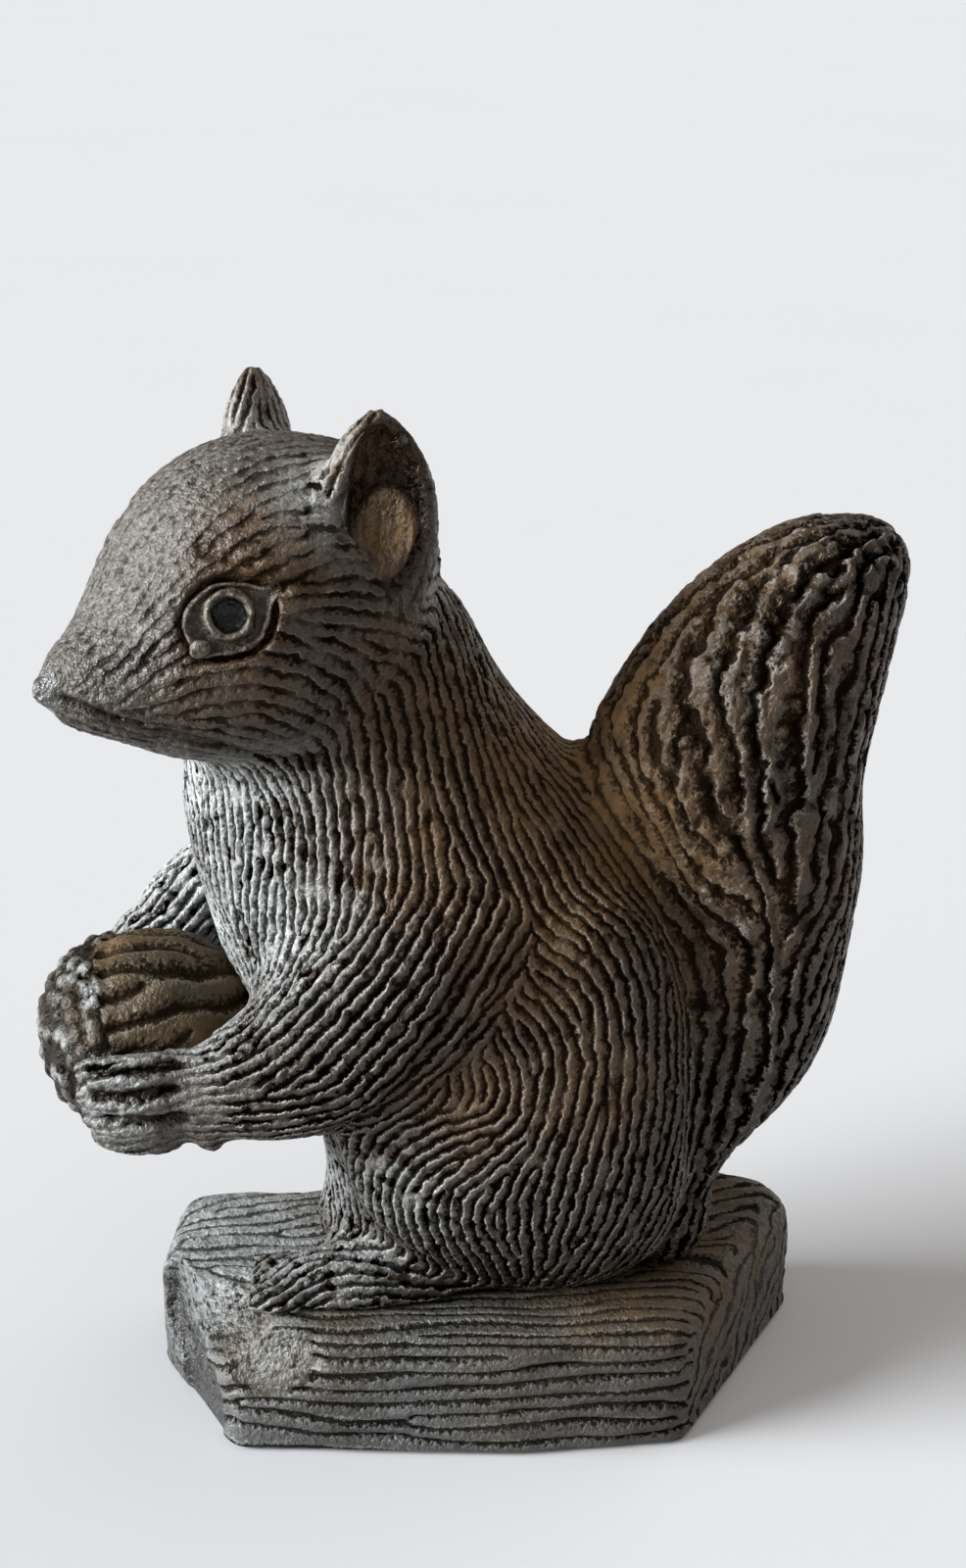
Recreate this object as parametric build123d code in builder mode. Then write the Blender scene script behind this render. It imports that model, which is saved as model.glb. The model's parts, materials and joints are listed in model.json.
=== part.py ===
from build123d import *
from math import cos, radians, sin
import os

# Squirrel figurine on a split-log stand, holding a nut, as a set of cemented castings.
# Millimetres, +Z up. The origin is the middle of the stand's underside, and the stand lies
# along X. The squirrel sits along the stand, faces -X and turns its head to its own left, -Y.

# Joints between castings
glue_line = 0.2           # gap left all round where two castings are cemented together
seat_tenon_length = 11.0  # tenon under the body, in the stand's mortise
seat_tenon_width = 3.0
seat_tenon_depth = 5.0
neck_peg_radius = 3.0     # peg on the neck, in the head's socket
neck_peg_length = 19.0
tail_peg_radius = 2.2     # peg on the tail, in the body's socket
tail_peg_length = 17.0

# Log stand
log_length = 54.0
log_depth = 28.0
log_height = 11.0
log_shoulder = 1.8        # round between the top and the bark sides
log_corner = 2.0          # round on the upright corners
log_foot_edge = 0.8       # round where the sides meet the underside
hewn_cut = 2.2            # depth of the axe cut across the front corner at the head end

# Body, from the top of the stand to the nape
seat_x = 3.0              # the seat lies this far behind the middle of the stand
body_height = 63.0
body_length = 38.0
body_width = 25.0

# Head
head_length = 30.0
head_width = 22.4
head_height = 23.6
head_turn = 35.0          # degrees to the squirrel's left
head_lean = 2.7           # how far the turned head leans to that side

# Ears
ear_height = 13.6
ear_width = 8.6
ear_thickness = 5.0
ear_dish = 1.7            # depth of the hollow in the ear
ear_turn = 30.0           # degrees that the hollow turns forward from the side

# Eyes and nose
eye_radius = 2.9
eye_depth = 3.0           # from the back of the socket to the lids
eye_bulge = 0.5           # crown of the lids
eye_ring_radius = 1.8     # raised ring round the pupil
eye_ring_height = 0.4
pupil_radius = 1.3
pupil_depth = 0.6
nose_radius = 1.7
nostril_radius = 0.45

# Limbs
arm_radius = 8.0
palm_radius = 4.8
finger_radius = 1.55
haunch_height = 36.0
haunch_length = 27.0
haunch_width = 11.4
foot_length = 19.5
foot_width = 7.0
foot_height = 4.8
toe_radius = 1.25
foot_stagger = 5.0        # the right foot sits this far behind the left

# Nut
nut_radius = 8.4          # at the rim of its cup
nut_shell_length = 10.4   # from the rim to the tip
nut_cup_depth = 8.2       # from the rim to the stalk end
nut_tilt = 22.0           # degrees that its tip is raised, towards the chest
cup_rim = 0.5             # how far the cup stands proud of the shell

# Tail
tail_height = 62.3
tail_length = 21.5
tail_width = 18.0

up = Vector(0, 0, 1)


def figure_point(forward_share, left_share, up_share):
    """A place on the squirrel, as shares of the body's length, width and height from its seat."""
    return Vector(
        seat_x - forward_share * body_length,
        -left_share * body_width,
        log_height + up_share * body_height,
    )


def upright_form(sections, grow=0.0):
    """A form lofted through level ellipses, each given by its centre and its radii along X and Y."""
    with BuildPart() as form:
        for centre, radius_x, radius_y in sections:
            with BuildSketch(Plane.XY.offset(centre.Z)):
                with Locations((centre.X, centre.Y)):
                    Ellipse(radius_x + grow, radius_y + grow)
        loft()
    return form.part


def limb_form(points, radii, grow=0.0):
    """A form lofted along a bent limb, through ellipses square to its run."""
    with BuildPart() as form:
        for i, (point, (across, deep)) in enumerate(zip(points, radii)):
            run = points[min(i + 1, len(points) - 1)] - points[max(i - 1, 0)]
            with BuildSketch(Plane(point, x_dir=run.cross(up), z_dir=run)):
                Ellipse(across + grow, deep + grow)
        loft()
    return form.part


# Body sections: height, centre towards the head, length and width, in shares of the body's sizes
body_shares = [
    (0.00, 0.047, 0.53, 0.44),
    (0.08, 0.070, 0.72, 0.66),
    (0.21, 0.055, 0.77, 0.91),
    (0.35, 0.090, 0.94, 0.98),
    (0.51, 0.147, 1.00, 1.00),
    (0.635, 0.237, 0.895, 0.94),
    (0.73, 0.310, 0.71, 0.85),
    (0.81, 0.330, 0.55, 0.74),
    (0.89, 0.335, 0.42, 0.54),
    (1.00, 0.370, 0.20, 0.24),
]


def body_form():
    return upright_form([
        (figure_point(centre, 0, height), length * body_length / 2, width * body_width / 2)
        for height, centre, length, width in body_shares
    ])


# Tail sections: height, centre behind the root, length and width, in shares of the tail's sizes
tail_shares = [
    (0.00, -0.04, 0.32, 0.44),
    (0.10, 0.01, 0.41, 0.58),
    (0.18, 0.08, 0.48, 0.71),
    (0.27, 0.20, 0.65, 0.84),
    (0.37, 0.29, 0.69, 0.91),
    (0.50, 0.31, 0.75, 0.96),
    (0.625, 0.255, 0.875, 1.00),
    (0.72, 0.20, 1.00, 1.00),
    (0.79, 0.258, 0.955, 0.96),
    (0.87, 0.35, 0.85, 0.87),
    (0.94, 0.462, 0.68, 0.71),
    (0.98, 0.53, 0.47, 0.51),
    (1.00, 0.585, 0.18, 0.20),
]
tail_root_share = 0.30      # of the body's length, behind the seat
tail_root = figure_point(-tail_root_share, 0, 0)


def tail_form(grow=0.0):
    return upright_form([
        (
            tail_root + Vector(centre * tail_length, 0, height * tail_height),
            length * tail_length / 2,
            width * tail_width / 2,
        )
        for height, centre, length, width in tail_shares
    ], grow)


# Haunch sections: height, centre behind the seat, length and width in shares of the haunch's
# sizes, and between them the centre's distance from the middle in shares of the body's width
haunch_shares = [
    (0.00, 0.06, 0.19, 0.37, 0.35),
    (0.08, 0.04, 0.24, 0.67, 0.65),
    (0.25, 0.00, 0.31, 0.93, 0.95),
    (0.47, -0.02, 0.335, 1.00, 1.00),
    (0.69, 0.04, 0.32, 0.85, 0.93),
    (0.89, 0.11, 0.335, 0.56, 0.70),
    (1.00, 0.15, 0.370, 0.22, 0.30),
]


def haunch_form(side, grow=0.0):
    """The thigh on one side: side 1 is the squirrel's left, -1 its right."""
    return upright_form([
        (
            Vector(
                seat_x + back * haunch_length,
                -side * out * body_width,
                log_height + height * haunch_height,
            ),
            length * haunch_length / 2,
            width * haunch_width / 2,
        )
        for height, back, out, length, width in haunch_shares
    ], grow)


# Hind foot: places along it in shares of its length and of the body's width, then its half width
# and its height in shares of the foot's sizes
foot_shares = [
    (0.00, 0.17, 0.66, 0.88),
    (0.40, 0.22, 0.90, 1.00),
    (0.75, 0.26, 1.00, 0.80),
    (1.00, 0.28, 0.76, 0.50),
]
toe_shares = [-0.33, -0.11, 0.11, 0.33]
toe_rise_share = 0.6
toe_reach_shares = [2.0, 0.6, -0.8, -1.8]
toe_radius_shares = [0.70, 1.00, 0.95, 0.45]


def foot_points(side):
    heel_x = seat_x if side > 0 else seat_x + foot_stagger
    return [
        Vector(heel_x - along * foot_length, -side * out * body_width, log_height)
        for along, out, _, _ in foot_shares
    ]


def foot_form(side, grow=0.0):
    radii = [(width * foot_width / 2, height * foot_height) for _, _, width, height in foot_shares]
    return limb_form(foot_points(side), radii, grow)


# Arms: places on the body, and radii in shares of the arm's largest radius
left_arm_shares = [
    (0.02, 0.33, 0.560),
    (0.17, 0.38, 0.490),
    (0.37, 0.42, 0.390),
    (0.51, 0.41, 0.343),
    (0.605, 0.40, 0.324),
]
right_arm_shares = [
    (-0.01, -0.35, 0.545),
    (0.22, -0.39, 0.530),
    (0.50, -0.40, 0.495),
    (0.66, -0.34, 0.454),
    (0.76, -0.265, 0.416),
]
left_arm_radius_shares = [(0.50, 0.55), (0.68, 1.00), (0.65, 0.91), (0.55, 0.675), (0.45, 0.525)]
right_arm_radius_shares = [(0.55, 0.75), (0.66, 0.90), (0.57, 0.675), (0.50, 0.55), (0.42, 0.45)]


def arm_form(place_shares, radius_shares, grow=0.0):
    points = [figure_point(*shares) for shares in place_shares]
    radii = [(across * arm_radius, deep * arm_radius) for across, deep in radius_shares]
    return limb_form(points, radii, grow)


def left_arm_form(grow=0.0):
    return arm_form(left_arm_shares, left_arm_radius_shares, grow)


def right_arm_form(grow=0.0):
    return arm_form(right_arm_shares, right_arm_radius_shares, grow)


# Nut: an acorn turned about its length, with its tip at the chest and its cup held out in front
nut_place_shares = (0.785, 0.10, 0.340)
nut_centre = figure_point(*nut_place_shares)
nut_rise = radians(nut_tilt)
nut_plane = Plane(nut_centre, x_dir=(sin(nut_rise), 0, -cos(nut_rise)), z_dir=(0, -1, 0))
shell_shares = [(1.00, 0.00), (0.96, 0.25), (0.66, 0.68), (0.00, 1.00)]
cup_shares = [(1.00, 0.00), (0.96, 0.40), (0.62, 0.84), (0.00, 1.00)]


def nut_form(grow=0.0):
    """The acorn: its axis is the plane's Y, with the rim of the cup at 0."""
    cup_radius = nut_radius + grow
    shell_radius = cup_radius - cup_rim
    cup_depth = nut_cup_depth + grow + grow
    with BuildPart() as form:
        with BuildSketch(nut_plane):
            with BuildLine():
                shell = Spline(*[
                    (across * shell_radius, grow + along * nut_shell_length) for across, along in shell_shares
                ])
                cup = Spline(*[(across * cup_radius, grow - along * cup_depth) for across, along in cup_shares])
                Line(cup @ 0, shell @ 0)
                Line(shell @ 1, cup @ 1)
            make_face()
        revolve(axis=Axis(nut_centre, nut_plane.y_dir))
    return form.part


def nut_side_point(turn_degrees, rise_degrees, side, reach):
    """A place round the nut: turned forward from its left or right side, and raised."""
    turn = radians(turn_degrees)
    rise = radians(rise_degrees)
    level = Vector(-sin(turn), -side * cos(turn), 0) * cos(rise)
    return nut_centre + (level + up * sin(rise)) * reach


finger_radius_shares = [0.85, 1.00, 0.95, 0.80, 0.40]


def finger_form(side, rise_degrees, start_degrees, end_degrees):
    """A finger that lies round the nut, level, from its knuckle to its tip."""
    steps = len(finger_radius_shares) - 1
    reach = nut_radius + finger_radius / 2
    points = [
        nut_side_point(start_degrees + (end_degrees - start_degrees) * i / steps, rise_degrees, side, reach)
        for i in range(steps + 1)
    ]
    radii = [(share * finger_radius, share * finger_radius) for share in finger_radius_shares]
    return limb_form(points, radii)


# Palms: radii along the palm, in shares of its largest radius
palm_radius_shares = [(0.40, 0.52), (0.58, 0.72), (0.52, 1.00), (0.22, 0.62)]


def palm_form(arm_shares, side, rise_degrees, end_degrees):
    wrist = figure_point(*arm_shares[-1])
    fore = figure_point(*arm_shares[-2])
    tip = nut_side_point(end_degrees, rise_degrees, side, nut_radius + finger_radius / 2)
    middle = (wrist + tip) / 2
    radii = [(across * palm_radius, deep * palm_radius) for across, deep in palm_radius_shares]
    return limb_form([(fore + wrist) / 2, wrist, middle, tip], radii)


# Head frame: X is the squirrel's left, Y is up and Z is forward along the muzzle
head_angle = radians(head_turn)
head_place_shares = (0.455, 0, 0.915)
head_centre = figure_point(*head_place_shares) - Vector(0, head_lean, 0)
head_frame = Plane(
    head_centre,
    x_dir=(sin(head_angle), -cos(head_angle), 0),
    z_dir=(-cos(head_angle), -sin(head_angle), 0),
)

# Head sections: forward, width, height and rise, in shares of the head's sizes
head_shares = [
    (-0.333, 0.52, 0.56, 0.03),
    (-0.217, 0.80, 0.80, 0.03),
    (0.000, 1.00, 1.00, 0.00),
    (0.167, 0.99, 0.98, -0.006),
    (0.300, 0.90, 0.86, -0.034),
    (0.400, 0.74, 0.67, -0.080),
    (0.500, 0.52, 0.42, -0.14),
    (0.590, 0.32, 0.27, -0.16),
    (0.640, 0.19, 0.18, -0.155),
]


def head_form(grow=0.0):
    with BuildPart() as form:
        for forward, width, height, rise in head_shares:
            with BuildSketch(head_frame.offset(forward * head_length)):
                with Locations((0, rise * head_height)):
                    Ellipse(width * head_width / 2 + grow, height * head_height / 2 + grow)
        loft()
    return form.part


def head_point(side, out_share, up_share, forward_share):
    """A place on one side of the head, in shares of its width, height and length from its centre."""
    return head_frame.from_local_coords(
        Vector(side * out_share * head_width, up_share * head_height, forward_share * head_length)
    )


# Ear sections: height, width and thickness, then the hollow's width and depth, all in shares
ear_shares = [
    (0.00, 0.80, 0.90, 0, 0),
    (0.25, 0.98, 1.00, 0.30, 0.30),
    (0.45, 1.00, 0.98, 0.72, 1.00),
    (0.65, 0.90, 0.86, 0.66, 1.00),
    (0.82, 0.66, 0.64, 0.40, 0.70),
    (0.93, 0.38, 0.42, 0.12, 0.25),
    (1.00, 0.12, 0.16, 0, 0),
]


ear_place_shares = (0.38, 0.05, -0.085)


def ear_plane(side):
    """The ear's frame at its root: X runs across the ear, Y out of its hollow and Z up."""
    swing = radians(ear_turn)
    out = head_frame.x_dir * (side * cos(swing)) + head_frame.z_dir * sin(swing)
    return Plane(head_point(side, *ear_place_shares), x_dir=out.cross(up), z_dir=up)


def ear_form(side, grow=0.0):
    with BuildPart() as form:
        for height, width, thickness, _, _ in ear_shares:
            with BuildSketch(ear_plane(side).offset(height * ear_height)):
                Ellipse(width * ear_width / 2 + grow, thickness * ear_thickness / 2 + grow)
        loft()
    return form.part


def ear_hollow(side):
    with BuildPart() as form:
        for height, _, thickness, width, depth in ear_shares[1:-1]:
            with BuildSketch(ear_plane(side).offset(height * ear_height)):
                with Locations((0, thickness * ear_thickness / 2)):
                    Ellipse(width * ear_width / 2, depth * ear_dish)
        loft()
    return form.part


# Eyes: place on the head, and the way they look, outward, up and forward
eye_place_shares = (0.36, 0.085, 0.31)
eye_aim_shares = (0.86, 0.26, 0.42)


def eye_plane(side):
    """The eye's frame at its lids: Z points out of the head."""
    aim_out, aim_up, aim_forward = eye_aim_shares
    out = head_frame.x_dir * (side * aim_out) + up * aim_up + head_frame.z_dir * aim_forward
    return Plane(head_point(side, *eye_place_shares), x_dir=out.cross(up), z_dir=out)


nose_place_shares = (0, -0.153, 0.635)
nose_centre = head_point(1, *nose_place_shares)
nostril_place_shares = (0.42, 0.86)  # sideways and forward, of the nose's radius


def nose_form(grow=0.0):
    with BuildPart() as form:
        with Locations(nose_centre):
            Sphere(nose_radius + grow)
    return form.part


os.makedirs("parts", exist_ok=True)
clear = glue_line

# Log stand: an irregular block with one long bark side, an oblique sawn end and an axe cut
log_outline_shares = [
    (-0.75, -0.94),
    (-1.00, -0.08),
    (-0.97, 0.66),
    (0.72, 1.00),
    (0.95, 0.80),
    (1.00, 0.54),
    (0.60, -0.88),
    (0.08, -1.00),
]
corner_x, corner_y = log_outline_shares[0]
hewn_normal = Vector(corner_x, corner_y, 1)
hewn_point = Vector(corner_x * log_length / 2, corner_y * log_depth / 2, log_height)
hewn_plane = Plane(hewn_point - hewn_normal.normalized() * hewn_cut, z_dir=hewn_normal)
tenon_place_shares = (0.03, 0, 0)
tenon_centre = figure_point(*tenon_place_shares)

with BuildPart() as log_base:
    with BuildSketch():
        with BuildLine():
            Polyline(*[(x * log_length / 2, y * log_depth / 2) for x, y in log_outline_shares], close=True)
        make_face()
    extrude(amount=log_height)
    fillet(log_base.edges().filter_by(Axis.Z), log_corner)
    fillet(log_base.edges().group_by(Axis.Z)[-1], log_shoulder)
    fillet(log_base.edges().group_by(Axis.Z)[0], log_foot_edge)
    split(bisect_by=hewn_plane, keep=Keep.BOTTOM)
    with BuildSketch(Plane.XY.offset(log_height)):
        with Locations((tenon_centre.X, tenon_centre.Y)):
            SlotOverall(seat_tenon_length + clear + clear, seat_tenon_width + clear + clear)
    extrude(amount=-seat_tenon_depth - clear, mode=Mode.SUBTRACT)
log_base.part.label = "log_base"
export_step(log_base.part, "parts/log_base.step")

# Tail: the brush, with its peg towards the back
peg_back_share = 0.31    # of the tail's length, behind its root
peg_height_share = 0.57  # of the body's height, above the seats of the haunches
tail_peg_root = tail_root + Vector(peg_back_share * tail_length, 0, peg_height_share * body_height)
tail_peg_plane = Plane(tail_peg_root, x_dir=(0, 1, 0), z_dir=(-1, 0, 0))
tail_block = tail_form()

with BuildPart() as tail:
    add(tail_block)
    with BuildSketch(tail_peg_plane):
        Circle(tail_peg_radius)
    extrude(amount=tail_peg_length)
tail.part.label = "tail"
export_step(tail.part, "parts/tail.step")

# Nut
nut = nut_form()
nut.label = "nut"
export_step(nut, "parts/nut.step")

# Body: the trunk with the limbs' and the head's seats cut away, then its tenon and neck peg
body_block = body_form()
body_cutters = [
    head_form(clear),
    tail_form(clear),
    left_arm_form(clear),
    right_arm_form(clear),
    nut_form(clear),
]
for side in (1, -1):
    body_cutters.append(haunch_form(side, clear))
    body_cutters.append(foot_form(side, clear))
neck_place_shares = (0.33, 0, 0.69)
neck_point = figure_point(*neck_place_shares)

with BuildPart() as body:
    add(body_block)
    for cutter in body_cutters:
        add(cutter, mode=Mode.SUBTRACT)
    with BuildSketch(tail_peg_plane):
        Circle(tail_peg_radius + clear)
    extrude(amount=tail_peg_length + clear, mode=Mode.SUBTRACT)
    with BuildSketch(Plane.XY.offset(log_height)):
        with Locations((tenon_centre.X, tenon_centre.Y)):
            SlotOverall(seat_tenon_length, seat_tenon_width)
    extrude(amount=-seat_tenon_depth)
    with BuildSketch(Plane(neck_point)):
        Circle(neck_peg_radius)
    extrude(amount=neck_peg_length)
body.part.label = "body"
export_step(body.part, "parts/body.step")

# Head: skull and muzzle, with seats for the ears, eyes and nose and a socket for the neck peg
head_block = head_form()
head_cutters = [nose_form(clear)]
for side in (1, -1):
    head_cutters.append(ear_form(side, clear))

with BuildPart() as head:
    add(head_block)
    for cutter in head_cutters:
        add(cutter, mode=Mode.SUBTRACT)
    for side in (1, -1):
        with BuildSketch(eye_plane(side).offset(-eye_depth - clear)):
            Circle(eye_radius + clear)
        extrude(amount=eye_depth + eye_radius, mode=Mode.SUBTRACT)
    with BuildSketch(Plane(neck_point)):
        Circle(neck_peg_radius + clear)
    extrude(amount=neck_peg_length + clear, mode=Mode.SUBTRACT)
head.part.label = "head"
export_step(head.part, "parts/head.step")

# Nose: a ball with two nostrils
nose_ball = nose_form()
nostril_side, nostril_forward = (share * nose_radius for share in nostril_place_shares)

with BuildPart() as nose:
    add(nose_ball)
    for side in (1, -1):
        nostril = nose_centre + head_frame.z_dir * nostril_forward + head_frame.x_dir * (side * nostril_side)
        with Locations(nostril):
            Sphere(nostril_radius, mode=Mode.SUBTRACT)
nose.part.label = "nose"
export_step(nose.part, "parts/nose.step")


def make_ear(side):
    block = ear_form(side)
    hollow = ear_hollow(side)
    with BuildPart() as ear:
        add(block)
        add(hollow, mode=Mode.SUBTRACT)
    return ear.part


lid_crown_share = 0.4  # of the bulge, where the lids' arc passes midway


def make_eye(side):
    """Crowned lids on a plug, with a raised ring round a sunk pupil."""
    with BuildPart() as eye:
        with BuildSketch(Plane.XZ):
            with BuildLine():
                Polyline(
                    (0, -eye_depth),
                    (eye_radius, -eye_depth),
                    (eye_radius, -eye_bulge),
                )
                ThreePointArc(
                    (eye_radius, -eye_bulge),
                    ((eye_radius + eye_ring_radius) / 2, -eye_bulge * lid_crown_share),
                    (eye_ring_radius, 0),
                )
                Polyline(
                    (eye_ring_radius, 0),
                    (eye_ring_radius, eye_ring_height),
                    (pupil_radius, eye_ring_height),
                    (pupil_radius, eye_ring_height - pupil_depth),
                    (0, eye_ring_height - pupil_depth),
                    (0, -eye_depth),
                )
            make_face()
        revolve(axis=Axis.Z)
    return eye_plane(side).location * eye.part


def make_haunch(side, arm_cutter):
    block = haunch_form(side)
    cutters = [arm_cutter, foot_form(side, clear), tail_form(clear)]
    with BuildPart() as haunch:
        add(block)
        for cutter in cutters:
            add(cutter, mode=Mode.SUBTRACT)
    return haunch.part


def make_foot(side):
    """A flat-soled foot with a row of toes."""
    block = foot_form(side)
    toe_middle = foot_points(side)[-1]
    toes = []
    for share in toe_shares:
        root = toe_middle + Vector(0, share * foot_width, toe_radius * toe_rise_share)
        points = [root + Vector(reach * toe_radius, 0, 0) for reach in toe_reach_shares]
        radii = [(girth * toe_radius, girth * toe_radius) for girth in toe_radius_shares]
        toes.append(limb_form(points, radii))
    with BuildPart() as foot:
        add(block)
        for toe in toes:
            add(toe)
        split(bisect_by=Plane.XY.offset(log_height), keep=Keep.TOP)
    return foot.part


def make_arm(block):
    nut_cutter = nut_form(clear)
    with BuildPart() as arm:
        add(block)
        add(nut_cutter, mode=Mode.SUBTRACT)
    return arm.part


def make_forepaw(palm, fingers, arm_cutter):
    nut_cutter = nut_form(clear)
    with BuildPart() as forepaw:
        add(palm)
        for finger in fingers:
            add(finger)
        add(arm_cutter, mode=Mode.SUBTRACT)
        add(nut_cutter, mode=Mode.SUBTRACT)
    return forepaw.part


# Fingers and palms round the nut, in degrees: rises above its middle, and turns forward from its side
left_finger_rises = (-35, -21, -7, 7)
left_finger_turns = (-26, 26)
left_palm_place = (-15, -22)
right_finger_rises = (-24, -9, 6, 21)
right_finger_turns = (-6, 42)
right_palm_place = (2, -4)
left_fingers = [finger_form(1, rise, *left_finger_turns) for rise in left_finger_rises]
right_fingers = [finger_form(-1, rise, *right_finger_turns) for rise in right_finger_rises]
left_palm = palm_form(left_arm_shares, 1, *left_palm_place)
right_palm = palm_form(right_arm_shares, -1, *right_palm_place)
pieces = {
    "left_ear": make_ear(1),
    "right_ear": make_ear(-1),
    "left_eye": make_eye(1),
    "right_eye": make_eye(-1),
    "left_haunch": make_haunch(1, left_arm_form(clear)),
    "right_haunch": make_haunch(-1, right_arm_form(clear)),
    "left_hind_foot": make_foot(1),
    "right_hind_foot": make_foot(-1),
    "left_arm": make_arm(left_arm_form()),
    "right_arm": make_arm(right_arm_form()),
    "left_forepaw": make_forepaw(left_palm, left_fingers, left_arm_form(clear)),
    "right_forepaw": make_forepaw(right_palm, right_fingers, right_arm_form(clear)),
}
for name, piece in pieces.items():
    piece.label = name
    export_step(piece, f"parts/{name}.step")
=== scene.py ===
# %% [markdown]
# # A squirrel cast in dark stone, sitting on a split log
# The figurine is about 84 mm tall. Its charm is in the surface: fur combed in long ridges, like a
# fingerprint, over soft swelling forms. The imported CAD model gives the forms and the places. This lesson
# fuses the castings into one skin, combs ridges into it, parts it again into its pieces, and gives each a
# finish.

# %% Load the frame
import json
import math

import bpy
import numpy as np
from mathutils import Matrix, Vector
from mathutils.bvhtree import BVHTree

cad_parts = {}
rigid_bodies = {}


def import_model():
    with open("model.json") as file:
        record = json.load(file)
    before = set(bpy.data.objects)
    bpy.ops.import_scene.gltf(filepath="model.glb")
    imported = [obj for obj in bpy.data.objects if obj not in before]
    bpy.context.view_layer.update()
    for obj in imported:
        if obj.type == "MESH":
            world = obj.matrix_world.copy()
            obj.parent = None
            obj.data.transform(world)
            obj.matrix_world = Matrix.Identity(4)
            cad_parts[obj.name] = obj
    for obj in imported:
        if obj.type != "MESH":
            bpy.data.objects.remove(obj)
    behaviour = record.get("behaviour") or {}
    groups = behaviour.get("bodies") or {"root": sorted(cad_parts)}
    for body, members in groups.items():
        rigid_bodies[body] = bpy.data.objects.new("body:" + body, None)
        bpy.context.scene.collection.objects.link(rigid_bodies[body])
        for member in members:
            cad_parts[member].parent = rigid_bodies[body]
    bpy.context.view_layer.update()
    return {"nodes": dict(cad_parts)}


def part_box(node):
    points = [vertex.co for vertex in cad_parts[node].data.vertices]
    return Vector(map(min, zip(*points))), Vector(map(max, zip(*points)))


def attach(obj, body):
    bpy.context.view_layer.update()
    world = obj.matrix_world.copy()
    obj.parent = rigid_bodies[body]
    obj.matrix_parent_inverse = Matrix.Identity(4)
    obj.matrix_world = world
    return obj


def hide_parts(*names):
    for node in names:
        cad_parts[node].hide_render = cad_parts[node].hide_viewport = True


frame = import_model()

mm = 0.001
scene = bpy.context.scene

# %% [markdown]
# ## The camera
# The photograph was taken from in front of the log and a little above it, looking down about 22 degrees. A
# camera can be placed by eye or worked out from points that are known on the object. Here it is worked out,
# because the same numbers are used again later, to lay the strokes of the comb on the fur where the
# photograph shows them.

# %% Place the camera
photo_width = 986
photo_height = 1600
focal_length_in_pixels = 2400
camera_place = Vector((0, -167.5, 120)) * mm
camera_pitch = math.radians(22)
sensor_size = 36

bpy.ops.object.select_all(action="DESELECT")
bpy.ops.object.camera_add(location=camera_place, rotation=(math.pi / 2 - camera_pitch, 0, 0))
camera = bpy.context.object
camera.name = "camera"
camera.data.sensor_width = sensor_size
camera.data.lens = sensor_size * focal_length_in_pixels / photo_height
camera.data.clip_start = 10 * mm
scene.camera = camera
scene.view_settings.view_transform = "Standard"
print("lens:", camera.data.lens, "mm")


# %% Find the line of sight of a pixel
def line_of_sight(pixel):
    """The direction in which the camera sees a pixel of the photograph."""
    across = pixel[0] - photo_width / 2
    down = pixel[1] - photo_height / 2
    ahead = Vector((0, math.cos(camera_pitch), -math.sin(camera_pitch)))
    up = Vector((0, math.sin(camera_pitch), math.cos(camera_pitch)))
    return (ahead * focal_length_in_pixels + Vector((across, 0, 0)) - up * down).normalized()


print("middle of the photograph:", [round(c, 3) for c in line_of_sight((493, 800))])

# %% [markdown]
# ## A kit for finishes
# A finish is a small program made of nodes. Wiring nodes by hand is slow to read, so one class wraps a
# socket and lets Python's own operators add the Math nodes. Any other node comes from one method.


# %% Wrap the sockets
class Wire:
    """A socket of a node tree that takes part in sums."""

    def __init__(self, finish, socket):
        self.finish = finish
        self.socket = socket

    def sum_of(self, operation, first, second):
        return self.finish.node("ShaderNodeMath", {"operation": operation}, {0: first, 1: second})

    def __add__(self, other):
        return self.sum_of("ADD", self, other)

    def __radd__(self, other):
        return self.sum_of("ADD", other, self)

    def __sub__(self, other):
        return self.sum_of("SUBTRACT", self, other)

    def __rsub__(self, other):
        return self.sum_of("SUBTRACT", other, self)

    def __mul__(self, other):
        return self.sum_of("MULTIPLY", self, other)

    def __rmul__(self, other):
        return self.sum_of("MULTIPLY", other, self)

    def __truediv__(self, other):
        return self.sum_of("DIVIDE", self, other)

    def __pow__(self, other):
        return self.sum_of("POWER", self, other)


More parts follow.
